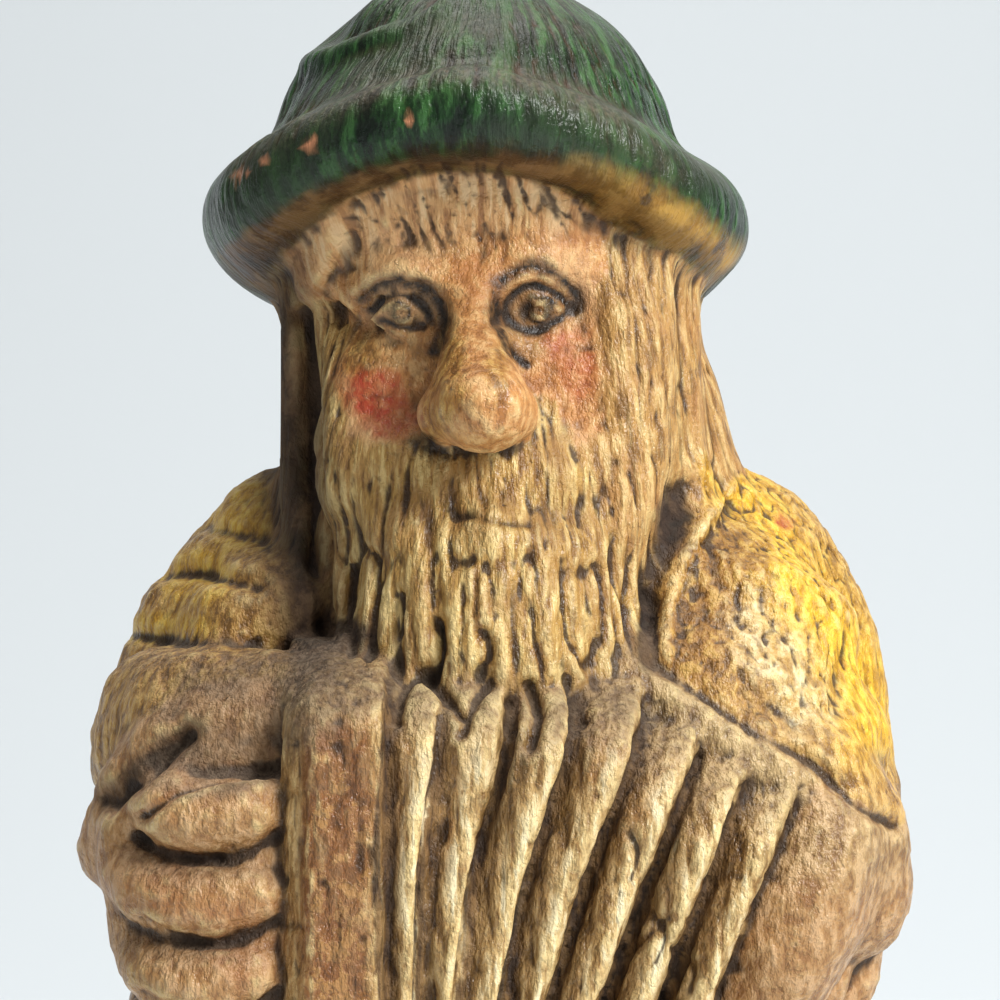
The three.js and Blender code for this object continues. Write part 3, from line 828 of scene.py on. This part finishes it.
def masks_of(points, edges, blur):
    """A soft mask for each region."""
    regions = label(points)
    masks = {}
    for i, region in enumerate(REGIONS):
        masks[region] = spread((regions == i).astype(float), edges, blur)[:, 0]
    return masks


def carve(points, normals, masks):
    """How far out each point moves along its normal, in millimetres."""
    x, y, z = points.T
    hair, beard, hat, cloth = masks["hair"], masks["beard"], masks["hat"], masks["cloth"]
    view = seen(points)
    facing = smooth(-0.2, 0.3, -normals[:, 1])
    behind = smooth(0, 6, y)
    around = np.arctan2(x - 1, -(y + 3))
    out = np.zeros(len(points))

    # Hair and beard: shallow strokes near the face, and deeper ones towards the tips
    on_head = round_axis(points, HEAD_AXIS, 20)
    sway = 1.5 * noise(on_head / [5, 5, 13], 11) + 0.6 * noise(on_head / [2, 2, 6], 12)
    tress = tresses(around, 64, sway) - 0.6
    stroke = gouged(on_head / [1.6, 1.6, 9], 13, 0.18)
    scratch = gouged(on_head / [1.0, 1.0, 5], 14)
    mouth = near_spot(view, [2, 116.6], [5.5, 3.6]) * facing
    ends = smooth(123, 108, z) * (1 - 0.8 * mouth)
    out += beard * (0.1 + 0.25 * ends) * tress
    out -= beard * ((0.3 + 0.3 * ends) * (1 - 0.7 * mouth) * stroke + 0.2 * scratch)
    broad = tresses(around, 36, 1.4 * noise(on_head / [6, 6, 15], 15)) - 0.6
    out += hair * ((0.16 + 0.76 * behind) * broad - 0.24 * stroke - 0.16 * scratch)
    forehead = near_spot(view, [0.5, 149], [15, 5]) * facing
    brushed = gouged(np.stack([(x + 0.45 * z) / 1.3, y / 6, z / 5], 1), 16)
    out -= masks["skin"] * forehead * 0.3 * brushed

    # Hat and coat: chisel strokes up the brim and the crown, short strokes on the chest, and folds behind
    on_hat = round_axis(points, HAT_AXIS, 28)
    out -= hat * 0.3 * gouged(on_hat / [1.5, 1.5, 5], 22) * smooth(-0.4, 0.5, noise(points / 6, 23))
    chest = near_spot(view, [27, 107], [12, 17])
    out -= cloth * (0.1 + 0.2 * chest * facing) * gouged(points / [1.1, 1.4, 3.6], 33)
    back_folds = tresses(around, 14, 1.2 * noise(points / [18, 18, 30], 34)) - 0.6
    out += cloth * behind * 1.1 * back_folds * smooth(120, 90, z)

    # Irises, and the narrow grooves between the bellows' ridges
    for centre in IRISES:
        ring = np.hypot(*(view - centre).T)
        out += masks["skin"] * facing * 0.3 * np.exp(-(((ring - 0.75) / 0.3) ** 2))
    above_foot = z - np.interp(x, *PLANE_FOOT)
    for place in range(2, FOLDS + 1):
        middle, pitch = ridge(place, z)
        groove = np.exp(-(((x - middle + 0.5 * pitch) / 0.45) ** 2)) * smooth(64, 70, z)
        out -= masks["wood"] * facing * 0.7 * groove * smooth(0, -3, above_foot)

    above_soles = smooth(-8, -5, z)
    for region, height, size, seed in LUMPS:
        out += masks[region] * above_soles * height * noise(points / size, seed)
    for region, depth, size, seed in SCRATCHES:
        out -= masks[region] * depth * gouged(points / size, seed)
    for names, lines in GROOVES:
        crossed = sum(masks[name] for name in names.split()) * facing
        for path, width, depth in lines:
            out -= crossed * depth * near_line(view, path, width)
    return out


def hollow_out_sockets(points):
    """Eye sockets, pressed into the face."""
    for centre, radii in SOCKETS:
        across, _, up = ((points - centre) / radii).T
        depth = points[:, 1]
        within = (np.hypot(across, up) < 1) & (depth < centre[1] + radii[1]) & (depth > -30)
        bottom = centre[1] + radii[1] * np.sqrt(np.clip(1 - across**2 - up**2, 0, 1))
        points[within, 1] = np.maximum(depth[within], bottom[within])
    return points


def hollows(points, normals, edges):
    """How deep each point lies below its smoothed surroundings, finely and broadly, in millimetres."""
    fine = spread(points, edges, 6)
    broad = spread(fine, edges, 40)
    return ((fine - points) * normals).sum(1), ((broad - points) * normals).sum(1)


def without_spikes(points, edges):
    """Points that stand far off the mean of their neighbours are brought back to it."""
    for _ in range(3):
        mean = spread(points, edges, 1)
        spike = np.linalg.norm(points - mean, axis=1) > SPIKE
        points = np.where(spike[:, None], mean, points)
    return points


def build_figurine():
    add_base()
    add_leg(-1)
    add_leg(1)
    for add in (add_coat, add_sleeves, add_hat, add_head, add_hair, add_beard, add_accordion, add_hands):
        add()

    made = fused("soft", [form for _, form in soft_forms], SOFT_VOXEL)
    points, edges = points_of(made.data), edges_of(made.data)
    points = hollow_out_sockets(spread(points, edges, 22, 0.7))
    points = spread(points, edges, 4, 0.6)
    place_points(made.data, points)
    softened = (points_of(made.data), [list(polygon.vertices) for polygon in made.data.polygons])
    bpy.data.objects.remove(made)

    made = fused("figurine_casting", [form for _, form in crisp_forms] + [softened], VOXEL)
    mesh = made.data
    edges = edges_of(mesh)
    points = without_spikes(spread(points_of(mesh), edges, 5, 0.6), edges)
    place_points(mesh, points)
    masks = masks_of(points, edges, 6)
    normals = normals_of(mesh)
    points = points + normals * carve(points, normals, masks)[:, None]
    place_points(mesh, without_spikes(spread(points, edges, 1, 0.3), edges))
    return made


def thin_out(made):
    """Fewer triangles, and most of them kept on the head, beard, accordion and hands in front."""
    mesh = made.data
    points = points_of(mesh)
    x, y, z = points.T
    front = smooth(2, -12, y)
    keep = front * (0.2 + 0.25 * smooth(66, 74, z))
    face = smooth(-12, -18, y) * near_spot(seen(points), [0, 130], [18, 22])
    keep = np.clip(keep + 0.5 * face, 0, 1)
    group = made.vertex_groups.new(name="keep")
    levels = np.round(keep * KEEP_LEVELS).astype(int)
    for level in np.unique(levels):
        group.add(np.nonzero(levels == level)[0].tolist(), float(1 - level / KEEP_LEVELS), "REPLACE")
    thin = made.modifiers.new("thin out", "DECIMATE")
    thin.ratio = MOST_TRIANGLES / (2 * len(mesh.polygons))
    thin.vertex_group = "keep"
    thin.vertex_group_factor = KEEP_WEIGHT
    applied(made)
    made.vertex_groups.clear()


def write(mesh, name, values):
    attribute = mesh.attributes.get(name) or mesh.attributes.new(name, "FLOAT", "POINT")
    attribute.data.foreach_set("value", np.asarray(values, np.float32).ravel())


# Painted places in the front view, as a centre and radii or as a path

RED_CHEEKS = [([-10.2, 129], [3.2, 2.6]), ([-8.2, 126.4], [3, 2]), ([10.6, 132], [2.3, 3.6]),
              ([8.6, 134], [2, 1.4])]
RED_FLECKS = [([31, 116.2], [0.8, 0.8])]
OLIVE_SPOTS = [([-8.2, 133.6], [3.8, 2.6]), ([5, 134.2], [2.6, 2.4]), ([-7.3, 137.4], [3.6, 2]),
               ([6, 138], [3.6, 2.2])]
# Dark paint: two strokes in the gnome's left eye, and painted shade below the nose on the gnome's right
DARK_SPOTS = [([5.7, 137.6], [0.55, 1]), ([7.2, 137.4], [0.5, 1]), ([-5.2, 124.2], [1.5, 1.2]),
              ([-3.4, 123], [1.3, 0.8])]
BEADS = [([-7.4, 137.2], 0.8), ([6.4, 137.5], 1.3)]
# Painted shade on the sides of the nose, and on the gnome's right cheek
NOSE_SHADE = [([-2.6, 131.6], [1.8, 4.6]), ([2.2, 131.4], [1.2, 3]), ([-4, 127], [1.6, 2.4]),
              ([-11.4, 132.6], [2, 2.6])]
BROWN_CLOTH = [([25.4, 113], [4, 3.6]), ([22.2, 105], [3, 5]), ([-24, 103], [6, 1.6])]
# Paler paint on the chest: the coat's cream, partly painted highlight
PALE_AND_LIT_CHEST = [([30.4, 105.4], [5, 4.6]), ([33.4, 99], [3.6, 4.4])]
CHIPS = [([-6.5, 156.7], [0.5, 0.65]), ([-16.5, 154], [0.75, 0.5]), ([-23.5, 151], [0.75, 0.4]),
         ([-21, 152.5], [0.5, 0.35])]
YELLOW_BAND = [[25.2, 122], [28.5, 116.8], [31.8, 111], [35.4, 106], [38.2, 101], [39.8, 96]]
# The height of the hat's ochre under edge across the front view
OCHRE_RIM = [[-26, 143], [-22, 145.8], [-17.5, 148.6], [-12.5, 150.8], [-6.5, 152.4], [0, 153.2],
             [6.5, 152.9], [12.5, 151.7], [18, 149.8], [22.5, 147.2], [26, 143.6]]
CROWN_FOOT = [[-24, 152], [-17, 157], [-6, 161], [3, 160.6], [12, 157], [20, 151]]
OCHRE_PATCHES = [([-23, 117], [4, 4]), ([-28, 111], [4, 3]), ([-32, 105.6], [6, 1.6])]
SHADED_HAIR = [[-20.6, 143], [-19.8, 134], [-18.4, 126], [-18, 117], [-17.2, 109], [-16.2, 103]]
DEEP_PLACES = [([19.8, 116.4], [1.8, 2.8]), ([17.2, 104.6], [1.1, 3.2]), ([-14.6, 105], [5, 2])]
BESIDE_BOARD = [[-8.2, 100.5], [-8.5, 90], [-8.6, 80], [-8.6, 67]]
DUSTY = [([-22, 98], [9, 5]), ([-14, 100.5], [6, 3.6]), ([-27, 92], [7, 3])]


# Colours, as sRGB


def paint(code):
    """A colour such as 2c5a32 as Blender's linear numbers."""
    parts = [int(code[i : i + 2], 16) / 255 for i in (0, 2, 4)]
    return tuple(p / 12.92 if p < 0.04045 else ((p + 0.055) / 1.055) ** 2.4 for p in parts) + (1.0,)


def paint_masks(mesh):
    """Writes what each point is painted with as attributes for the material."""
    points, normals, edges = points_of(mesh), normals_of(mesh), edges_of(mesh)
    masks = masks_of(points, edges, 8)
    view = seen(points)
    across, up = view.T
    x, y, z = points.T
    facing = smooth(0, 0.4, -normals[:, 1])
    # Beard paint runs up over the foot of the cheeks, beside the nose
    lowest = 124 + 1.2 * noise(points / 1.2, 70)
    cheek_foot = smooth(lowest + 3, lowest - 3, up) * smooth(4.4, 6.6, np.abs(across - 0.8))
    masks["beard"] = np.maximum(masks["beard"], masks["skin"] * cheek_foot)
    masks["skin"] = masks["skin"] * (1 - cheek_foot)
    # The coat begins above the plane over the fold tops
    above_plane = up - np.interp(across, *np.transpose(PLANE_TOP)) + 0.4 * noise(points / 1.3, 74)
    sleeve = smooth(-0.5, 0.5, above_plane) * facing * smooth(13, 16, across)
    for region in ("wood", "hands"):
        masks["cloth"] = masks["cloth"] + masks[region] * sleeve
        masks[region] = masks[region] * (1 - sleeve)
    skin_part, cloth, wood, hat = masks["skin"], masks["cloth"], masks["wood"], masks["hat"]
    ragged = view + 0.35 * np.stack([noise(points / 1.1, 71), noise(points / 1.1, 72)], 1)

    def spots(places):
        return np.max([near_spot(ragged, centre, radii) for centre, radii in places], axis=0)

    lines = [1.2 * near_line(ragged, path, 0.7) for path in BROW_LINES]
    lines += [1.1 * near_line(ragged, path, 0.45) for path in LID_LINES + UNDER_LINES]
    for centre, reach in BEADS:
        ring = np.hypot(*(ragged - centre).T) - reach
        lines.append(1.1 * np.exp(-((ring / 0.34) ** 2)))
    # The mouth's line and the dark spots; those below the nose are painted shade
    lines += [0.45 * near_line(ragged, MOUTH_LINE, 0.3), spots(DARK_SPOTS)]
    dark = np.clip(np.max(lines, axis=0), 0, 1) * smooth(-0.3, 0.1, -normals[:, 1])

    above_foot = z - np.interp(x, *PLANE_FOOT)
    plane = wood * facing * smooth(-9, -7, x) * smooth(-8, 1.5, above_foot)
    plane = np.maximum(plane, 0.7 * masks["hands"] * facing * smooth(22, 28, x) * smooth(76, 86, z))
    band = np.maximum(near_line(ragged, YELLOW_BAND, 3.6), 0.55 * spots(OCHRE_PATCHES))

    # How far each point lies from the nearest ridge's crest, in pitches
    off_crest = np.full(len(points), 9.0)
    for place in range(1, FOLDS + 1):
        middle, pitch = ridge(place, z)
        off = (x - middle) / pitch
        off_crest = np.where(off > -0.5, np.minimum(off_crest, off), off_crest)
    off_crest -= 0.2
    folds = wood * facing * (off_crest < 0.4)
    gaps = folds * smooth(0.5, -2, above_foot) * smooth(-0.52, -0.62, off_crest)
    folds = folds * (1 - plane)
    # Painted shade on each ridge's flank towards the gnome's right, and a little at its other edge
    flank = np.clip(smooth(-0.2, -0.5, off_crest) + 0.6 * smooth(0.16, 0.26, off_crest), 0, 1)

    # Painted shade: in the hair at the gnome's right, in deep places, in the cuff's gap, beside the board, in
    # the grooves between the ridges, and below the hat's brim
    shade = np.max([
        near_line(view, SHADED_HAIR, 4),
        spots(DEEP_PLACES),
        0.9 * near_line(ragged, CUFF_GAP, 1.2),
        0.8 * near_line(ragged, BESIDE_BOARD, 0.75),
        0.75 * gaps,
    ], axis=0)
    shade *= smooth(-0.7, -0.3, -normals[:, 1]) * (1 - hat)
    shade += 0.6 * hat * smooth(-0.5, -0.88, normals[:, 2])

    below = np.interp(across, *np.transpose(OCHRE_RIM)) - up + 0.5 * noise(points / 1.4, 73)
    fade = 0.45 + 1.2 * smooth(2, 13, across)
    rim = smooth(-fade, fade, below) * smooth(0.1, -0.25, normals[:, 2]) * smooth(0, -8, y)
    combed = np.maximum(near_spot(view, [0.5, 149.6], [17, 4.6]), near_spot(view, [-14.5, 146], [4.5, 7]))

    ledge = smooth(60, 66, z) * smooth(110, 103, z) * smooth(-4, -12, y) * smooth(26, 14, x)
    crown = hat * smooth(158, 163, z + 0.4 * x)
    dust = smooth(0.15, 0.9, normals[:, 2]) * (0.25 + 0.5 * ledge + 0.1 * crown)
    dust += 0.35 * hat * near_line(view, CROWN_FOOT, 1.6) + 0.85 * facing * spots(DUSTY)
    rosy = spots(RED_CHEEKS) * (1 - 0.4 * smooth(4, 8, x))

    painted = {
        "red": facing * (skin_part * rosy + cloth * spots(RED_FLECKS)),
        "dark": np.clip(skin_part + masks["beard"], 0, 1) * dark,
        "olive": skin_part * facing * 0.6 * spots(OLIVE_SPOTS),
        "brown": facing * (cloth * spots(BROWN_CLOTH) + skin_part * spots(NOSE_SHADE)),
        "pale": cloth * facing * spots(PALE_AND_LIT_CHEST),
        "yellow": cloth * np.clip(band + 0.4 * smooth(0, 8, y), 0, 1),
        "plane": plane,
        # Light paint on the ridges' crests, worn bare and painted highlight, most towards the bottom
        "crest": folds * np.exp(-((off_crest / 0.19) ** 2)) * (0.6 + 0.4 * smooth(96, 84, z)),
        "flank": folds * flank,
        "board": wood * facing * smooth(-17.2, -16, x) * smooth(-9.4, -10.6, x) * smooth(99, 96, z),
        "shade": smooth(6, -4, y) * shade,
        "under": hat * rim,
        "ochre": hat * smooth(5, 13, across),
        "chip": hat * facing * spots(CHIPS),
        "combed": skin_part * combed,
        "dust": np.clip(dust, 0, 1),
    }
    for name, values in {**masks, **painted}.items():
        write(mesh, name, values)
    return list(painted)


# Material


class Nodes:
    """Short words for building a material's nodes."""

    def __init__(self, material):
        material.use_nodes = True
        self.tree = material.node_tree
        self.tree.nodes.clear()

    def node(self, kind, inputs, output=0, **settings):
        """The output of a new node, after its inputs are linked or set."""
        made = self.tree.nodes.new("ShaderNode" + kind)
        for name, value in settings.items():
            setattr(made, name, value)
        for socket, value in inputs.items():
            if isinstance(value, bpy.types.NodeSocket):
                self.tree.links.new(value, made.inputs[socket])
            else:
                made.inputs[socket].default_value = value
        return made.outputs[output] if len(made.outputs) else None

    def surface(self, **inputs):
        """The material's surface, with inputs such as Base_Color."""
        inputs = {name.replace("_", " "): value for name, value in inputs.items()}
        self.node("OutputMaterial", {"Surface": self.node("BsdfPrincipled", inputs)})

    def mask(self, name):
        return self.node("Attribute", {}, "Fac", attribute_name=name)

    def math(self, operation, a, b=0.0, clamp=False):
        return self.node("Math", {0: a, 1: b}, operation=operation, use_clamp=clamp)

    def plus(self, a, b, clamp=False):
        return self.math("ADD", a, b, clamp)

    def minus(self, a, b):
        return self.math("SUBTRACT", a, b)

    def times(self, a, b):
        return self.math("MULTIPLY", a, b)

    def vector(self, operation, a, b=(0, 0, 0)):
        return self.node("VectorMath", {0: a, 1: b}, operation=operation)

    def between(self, value, low, high, start=0.0, end=1.0):
        """Eased from start, where the value is low, to end, where it is high."""
        inputs = {"Value": value, "From Min": low, "From Max": high, "To Min": start, "To Max": end}
        return self.node("MapRange", inputs, "Result", interpolation_type="SMOOTHSTEP")

    def mix(self, share, a, b):
        return self.node("Mix", {"Factor": share, 6: a, 7: b}, 2, data_type="RGBA")

    def noise(self, where, scale, detail, rough):
        """Noise at one scale, or at a scale for each axis."""
        if isinstance(scale, tuple):
            where = self.node("Mapping", {"Vector": where, "Scale": scale})
            scale = 1.0
        return self.node("TexNoise", {"Vector": where, "Scale": scale, "Detail": detail, "Roughness": rough})


# Each region's paint: the noise it follows, and its dark, middle and light tones
TONES = [
    ("ground", "blotch", "3d3d22 5d5a35 857a48"),
    ("legs", "blotch", "33261c 513c2b 6b5038"),
    ("boots", "blotch", "241a13 3a2b20 553f2c"),
    ("cloth", "worm", "7a5629 ab8042 cda561"),
    ("wood", "streak", "7c5a30 aa8450 cba972"),
    ("hands", "worm", "93683e ad8252 c69d70"),
    ("hair", "strand", "856034 b58a50 d0ae72"),
    ("beard", "strand", "825d30 b38b4c dabb7a"),
    ("skin", "worm", "9f6a3a bf864e d4a46b"),
    ("hat", "stroke", "09160a 193318 33592d"),
    ("rim", "blotch", "3c2614 704a20 9a703a"),
]
# Blotches on it: the noise, the values where they begin and end, how strong they are, and their colour
BLOTCHES = [
    ("hat", "cloud", 0.5, 0.66, 0.7, "2a3624"),
    ("skin", "blotch", 0.5, 0.74, 0.7, "b8763f"),
    ("skin", "cloud", 0.5, 0.6, 0.4, "e2b988"),
    ("hair", "blotch", 0.48, 0.7, 0.6, "a9763f"),
    ("beard", "blotch", 0.46, 0.68, 0.75, "a27840"),
    ("cloth", "blotch", 0.5, 0.7, 0.45, "946c34"),
    ("hands", "cloud", 0.5, 0.68, 0.45, "a66a42"),
]


def painted_casting(painted):
    """The figurine's material, which reads the attributes of the regions and those named in painted."""
    material = bpy.data.materials.new(SLOT)
    n = Nodes(material)
    here = n.node("TexCoord", {}, "Object")
    mask = {name: n.mask(name) for name in REGIONS + painted + ["hollow", "broad"]}

    # Places round the head's upright axis, for strokes that run up and down it
    axis = (HEAD_AXIS[0] * MM, HEAD_AXIS[1] * MM, 0)
    level = n.vector("SUBTRACT", n.vector("MULTIPLY", here, (1, 1, 0)), axis)
    around = n.vector("MULTIPLY", n.vector("NORMALIZE", level), (HEAD_REACH, HEAD_REACH, HEAD_REACH))
    head = n.vector("ADD", around, n.vector("MULTIPLY", here, (0, 0, 1)))

    field = {
        "blotch": n.noise(here, 190, 4, 0.62),
        "grain": n.noise(here, 620, 4, 0.65),
        "fine": n.noise(here, 1700, 3, 0.6),
        "cloud": n.noise(here, 60, 3, 0.5),
        "strand": n.noise(head, (1150, 1150, 200), 3, 0.65),
        "stroke": n.noise(head, (900, 900, 260), 3, 0.6),
        "worm": n.noise(here, (820, 820, 430), 3, 0.62),
        "crackle": n.noise(here, (1100, 1100, 620), 2, 0.5),
        "streak": n.noise(here, (900, 900, 190), 3, 0.62),
    }
    blotch, grain, worm, streak = field["blotch"], field["grain"], field["worm"], field["streak"]

    def tones(name, codes):
        """Dark, medium and light paint, as the noise called name rises."""
        low, middle, high = 0.37, 0.49, 0.61
        dark, medium, light = [paint(code) for code in codes.split()]
        lower = n.mix(n.between(field[name], low, middle), dark, medium)
        return n.mix(n.between(field[name], middle, high), lower, light)

    tone = {name: tones(noise_name, codes) for name, noise_name, codes in TONES}
    for name, noise_name, low, high, most, code in BLOTCHES:
        tone[name] = n.mix(n.between(field[noise_name], low, high, 0.0, most), tone[name], paint(code))
    for name, share, over in [
        ("rim", n.times(mask["ochre"], 0.8), tones("blotch", "5e4118 a67828 cc9c40")),
        ("skin", n.times(mask["combed"], 0.8), tones("strand", "a06e40 d8a66c eecb98")),
        # Paler paint on the chest, partly painted highlight
        ("cloth", n.times(mask["pale"], n.between(worm, 0.38, 0.55, 0.3, 0.8)),
         tones("grain", "bd9758 d8bb82 efdfb2")),
        ("cloth", n.times(mask["yellow"], n.between(blotch, 0.27, 0.45, 0.5)),
         tones("worm", "bd8a20 e0ad2c efca4a")),
        ("wood", n.between(field["cloud"], 0.46, 0.62, 0.0, 0.7), tones("worm", "7d5430 98683c b98a52")),
        # The ridges' crests: worn bare, with painted highlight
        ("wood", n.times(mask["crest"], n.between(n.plus(streak, blotch), 0.84, 1.04, 0.3)),
         tones("streak", "ad8850 dabb80 f6e6ba")),
        ("wood", n.times(mask["board"], 0.85), tones("grain", "6d4224 84532e a87a48")),
    ]:
        tone[name] = n.mix(share, tone[name], over)
    tone["hat"] = n.mix(n.times(mask["under"], 0.9), tone["hat"], tone["rim"])

    # Paint that laps over its edges: each region's mask is broken up by a noise
    colour = tone["hair"]
    broken = n.times(n.minus(blotch, 0.5), 0.7)
    for name in REGIONS:
        colour = n.mix(n.between(n.plus(mask[name], broken), 0.35, 0.65), colour, tone[name])

    # Dirt and painted shade: near black deep in the broad hollows, less on the skin
    deep = n.times(n.between(mask["broad"], 0.15, 1.1), n.between(mask["skin"], 0.2, 0.8, 0.85, 0.4))
    # Paint worn light on the crests, with painted highlights there
    wear_and_highlight = n.times(n.between(mask["hollow"], -0.03, -0.16), n.between(grain, 0.42, 0.58, 0.35))
    wear_and_highlight_tone = n.mix(n.between(mask["hat"], 0.3, 0.7), paint("f0d698"), paint("4d6e46"))
    dusty = n.times(mask["dust"], n.between(blotch, 0.35, 0.62, 0.55, 0.95))
    for share, over in [
        # Painted details; the brown holds painted shade by the nose and on the gnome's right cheek
        (n.times(mask["plane"], 0.85), tones("worm", "785f40 9e8459 c0a576")),
        (n.times(mask["brown"], 0.75), tones("worm", "6a4515 98692a bb9044")),
        (n.times(mask["olive"], n.between(grain, 0.35, 0.6, 0.3, 0.75)), paint("7d6742")),
        (n.times(mask["red"], n.between(grain, 0.35, 0.62, 0.95, 0.55)), paint("a93726")),
        (mask["chip"], paint("c48560")),
        # Brown patina in the hollows, dirt and painted shade near black deep in the broad ones, and paint
        # worn light on the crests, with painted highlights
        (n.times(n.between(mask["hollow"], 0.0, 0.135), 0.9), paint("35210f")),
        (deep, paint("1e140c")),
        (n.times(wear_and_highlight, 0.6), wear_and_highlight_tone),
        # Outlines, with painted shade below the nose; painted shade in gaps, pits and under the brim; painted
        # shade on the ridges' flanks; and dust on what faces up
        (n.times(mask["dark"], n.between(grain, 0.4, 0.62, 1.0, 0.7)), paint("211a14")),
        (n.times(mask["shade"], 0.97), tones("blotch", "1d140c 33241a 5a4634")),
        (n.times(mask["flank"], 0.7), tones("streak", "352210 5f4322 866337")),
        (n.times(dusty, 0.8), n.mix(n.between(field["fine"], 0.4, 0.6), paint("4c3e31"), paint("716150"))),
    ]:
        colour = n.mix(share, colour, over)

    roughness = n.plus(n.between(blotch, 0.35, 0.65, 0.28, 0.45), n.times(dusty, 0.45), clamp=True)
    roughness = n.plus(roughness, n.times(n.math("MAXIMUM", deep, mask["shade"]), 0.5), clamp=True)
    roughness = n.times(roughness, n.between(mask["hat"], 0.3, 0.7, 1.0, 0.75))

    # Bumps: strands on the head, cut grain elsewhere, and fine creases all over
    headed = n.plus(n.plus(mask["hair"], mask["beard"], clamp=True), mask["hat"], clamp=True)
    carved = n.node("Mix", {
        "Factor": headed,
        "A": n.plus(worm, n.times(streak, n.times(mask["wood"], 0.5))),
        "B": n.plus(field["stroke"], n.times(field["strand"], 0.7)),
    }, "Result", data_type="FLOAT")
    shallow = n.plus(n.times(mask["skin"], 0.6), n.times(mask["hat"], 0.3), clamp=True)
    height = n.times(carved, n.minus(1.0, shallow))
    height = n.plus(n.plus(height, n.times(grain, 0.3)), n.times(field["fine"], 0.08))
    rough_parts = n.minus(1.0, n.times(mask["hat"], 0.7))
    for name in ("crackle", "grain"):
        crease = n.between(n.math("ABSOLUTE", n.minus(field[name], 0.5)), 0.0, 0.09)
        height = n.plus(height, n.times(n.times(crease, 0.06), rough_parts))
    bump = n.node("Bump", {"Strength": 0.9, "Distance": 0.0008, "Height": height})
    gloss = n.between(mask["hat"], 0.3, 0.7, 0.4, 0.28)
    n.surface(Base_Color=colour, Roughness=roughness, Normal=bump, Specular_IOR_Level=gloss)
    return material


# Set


def add_stage():
    """A floor that curves up into a backdrop."""
    bend, rise = 0.7, np.linspace(0, np.pi / 2, 40)
    profile = [(-1.4, 0.0), (-0.6, 0.0), (0.0, 0.0)]
    profile += [(0.3 + bend * np.sin(a), bend * (1 - np.cos(a))) for a in rise]
    profile += [(0.3 + bend, 1.4), (0.3 + bend, 2.2)]
    points = [(side * 2.0, y, z) for y, z in profile for side in (-1, 1)]
    faces = [(2 * i, 2 * i + 1, 2 * i + 3, 2 * i + 2) for i in range(len(profile) - 1)]
    mesh = bpy.data.meshes.new("backdrop")
    mesh.from_pydata(points, [], faces)
    mesh.shade_smooth()
    material = bpy.data.materials.new("pale_paper")
    Nodes(material).surface(Base_Color=paint("dbe0e2"), Roughness=0.95, Specular_IOR_Level=0.0)
    mesh.materials.append(material)
    placed("backdrop", mesh)


def add_light(name, place, aim, size, power):
    data = bpy.data.lights.new(name, "AREA")
    data.size, data.energy = size, power
    made = placed(name, data)
    made.location = place
    made.rotation_euler = (Vector(aim) - Vector(place)).to_track_quat("-Z", "Y").to_euler()


def add_camera():
    data = bpy.data.cameras.new("camera")
    data.lens, data.sensor_width = 108, 36
    data.clip_start, data.clip_end = 0.02, 10
    made = placed("camera", data)
    made.location = to_metres([CAMERA["x"], CAMERA["y"], EYE_HEIGHT])
    made.rotation_euler = (np.pi / 2, 0, 0)
    bpy.context.scene.camera = made


def light_the_set():
    face = (0, -0.02, 0.13)
    add_light("key", (0.38, -0.36, 0.46), face, 0.22, 4.7)
    add_light("fill", (-0.7, -0.5, 0.2), face, 0.6, 0.34)
    add_light("top", (-0.05, 0.05, 0.75), face, 0.4, 1.2)
    add_light("paper", (0.2, 0.1, 1.3), (0.1, 0.9, 0.3), 1.2, 12)
    world = bpy.data.worlds.new("room")
    world.use_nodes = True
    world.node_tree.nodes["Background"].inputs["Color"].default_value = (0.96, 0.98, 1, 1)
    world.node_tree.nodes["Background"].inputs["Strength"].default_value = 0.18
    bpy.context.scene.world = world
    bpy.context.scene.view_settings.view_transform = "Standard"


add_camera()
figurine = build_figurine()
high_points, high_normals = points_of(figurine.data), normals_of(figurine.data)
fine_hollow, broad_hollow = hollows(high_points, high_normals, edges_of(figurine.data))
write(figurine.data, "hollow", fine_hollow)
write(figurine.data, "broad", broad_hollow)
thin_out(figurine)
flattened = points_of(figurine.data)
flattened[:, 2] = np.where(flattened[:, 2] < -BASE_HEIGHT + 0.5, -BASE_HEIGHT, flattened[:, 2])
place_points(figurine.data, flattened)
painted = paint_masks(figurine.data)
figurine.data.shade_smooth()
figurine.data.materials.clear()
figurine.data.materials.append(painted_casting(painted))
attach(figurine, "root")
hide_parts(NODE)
add_stage()
light_the_set()
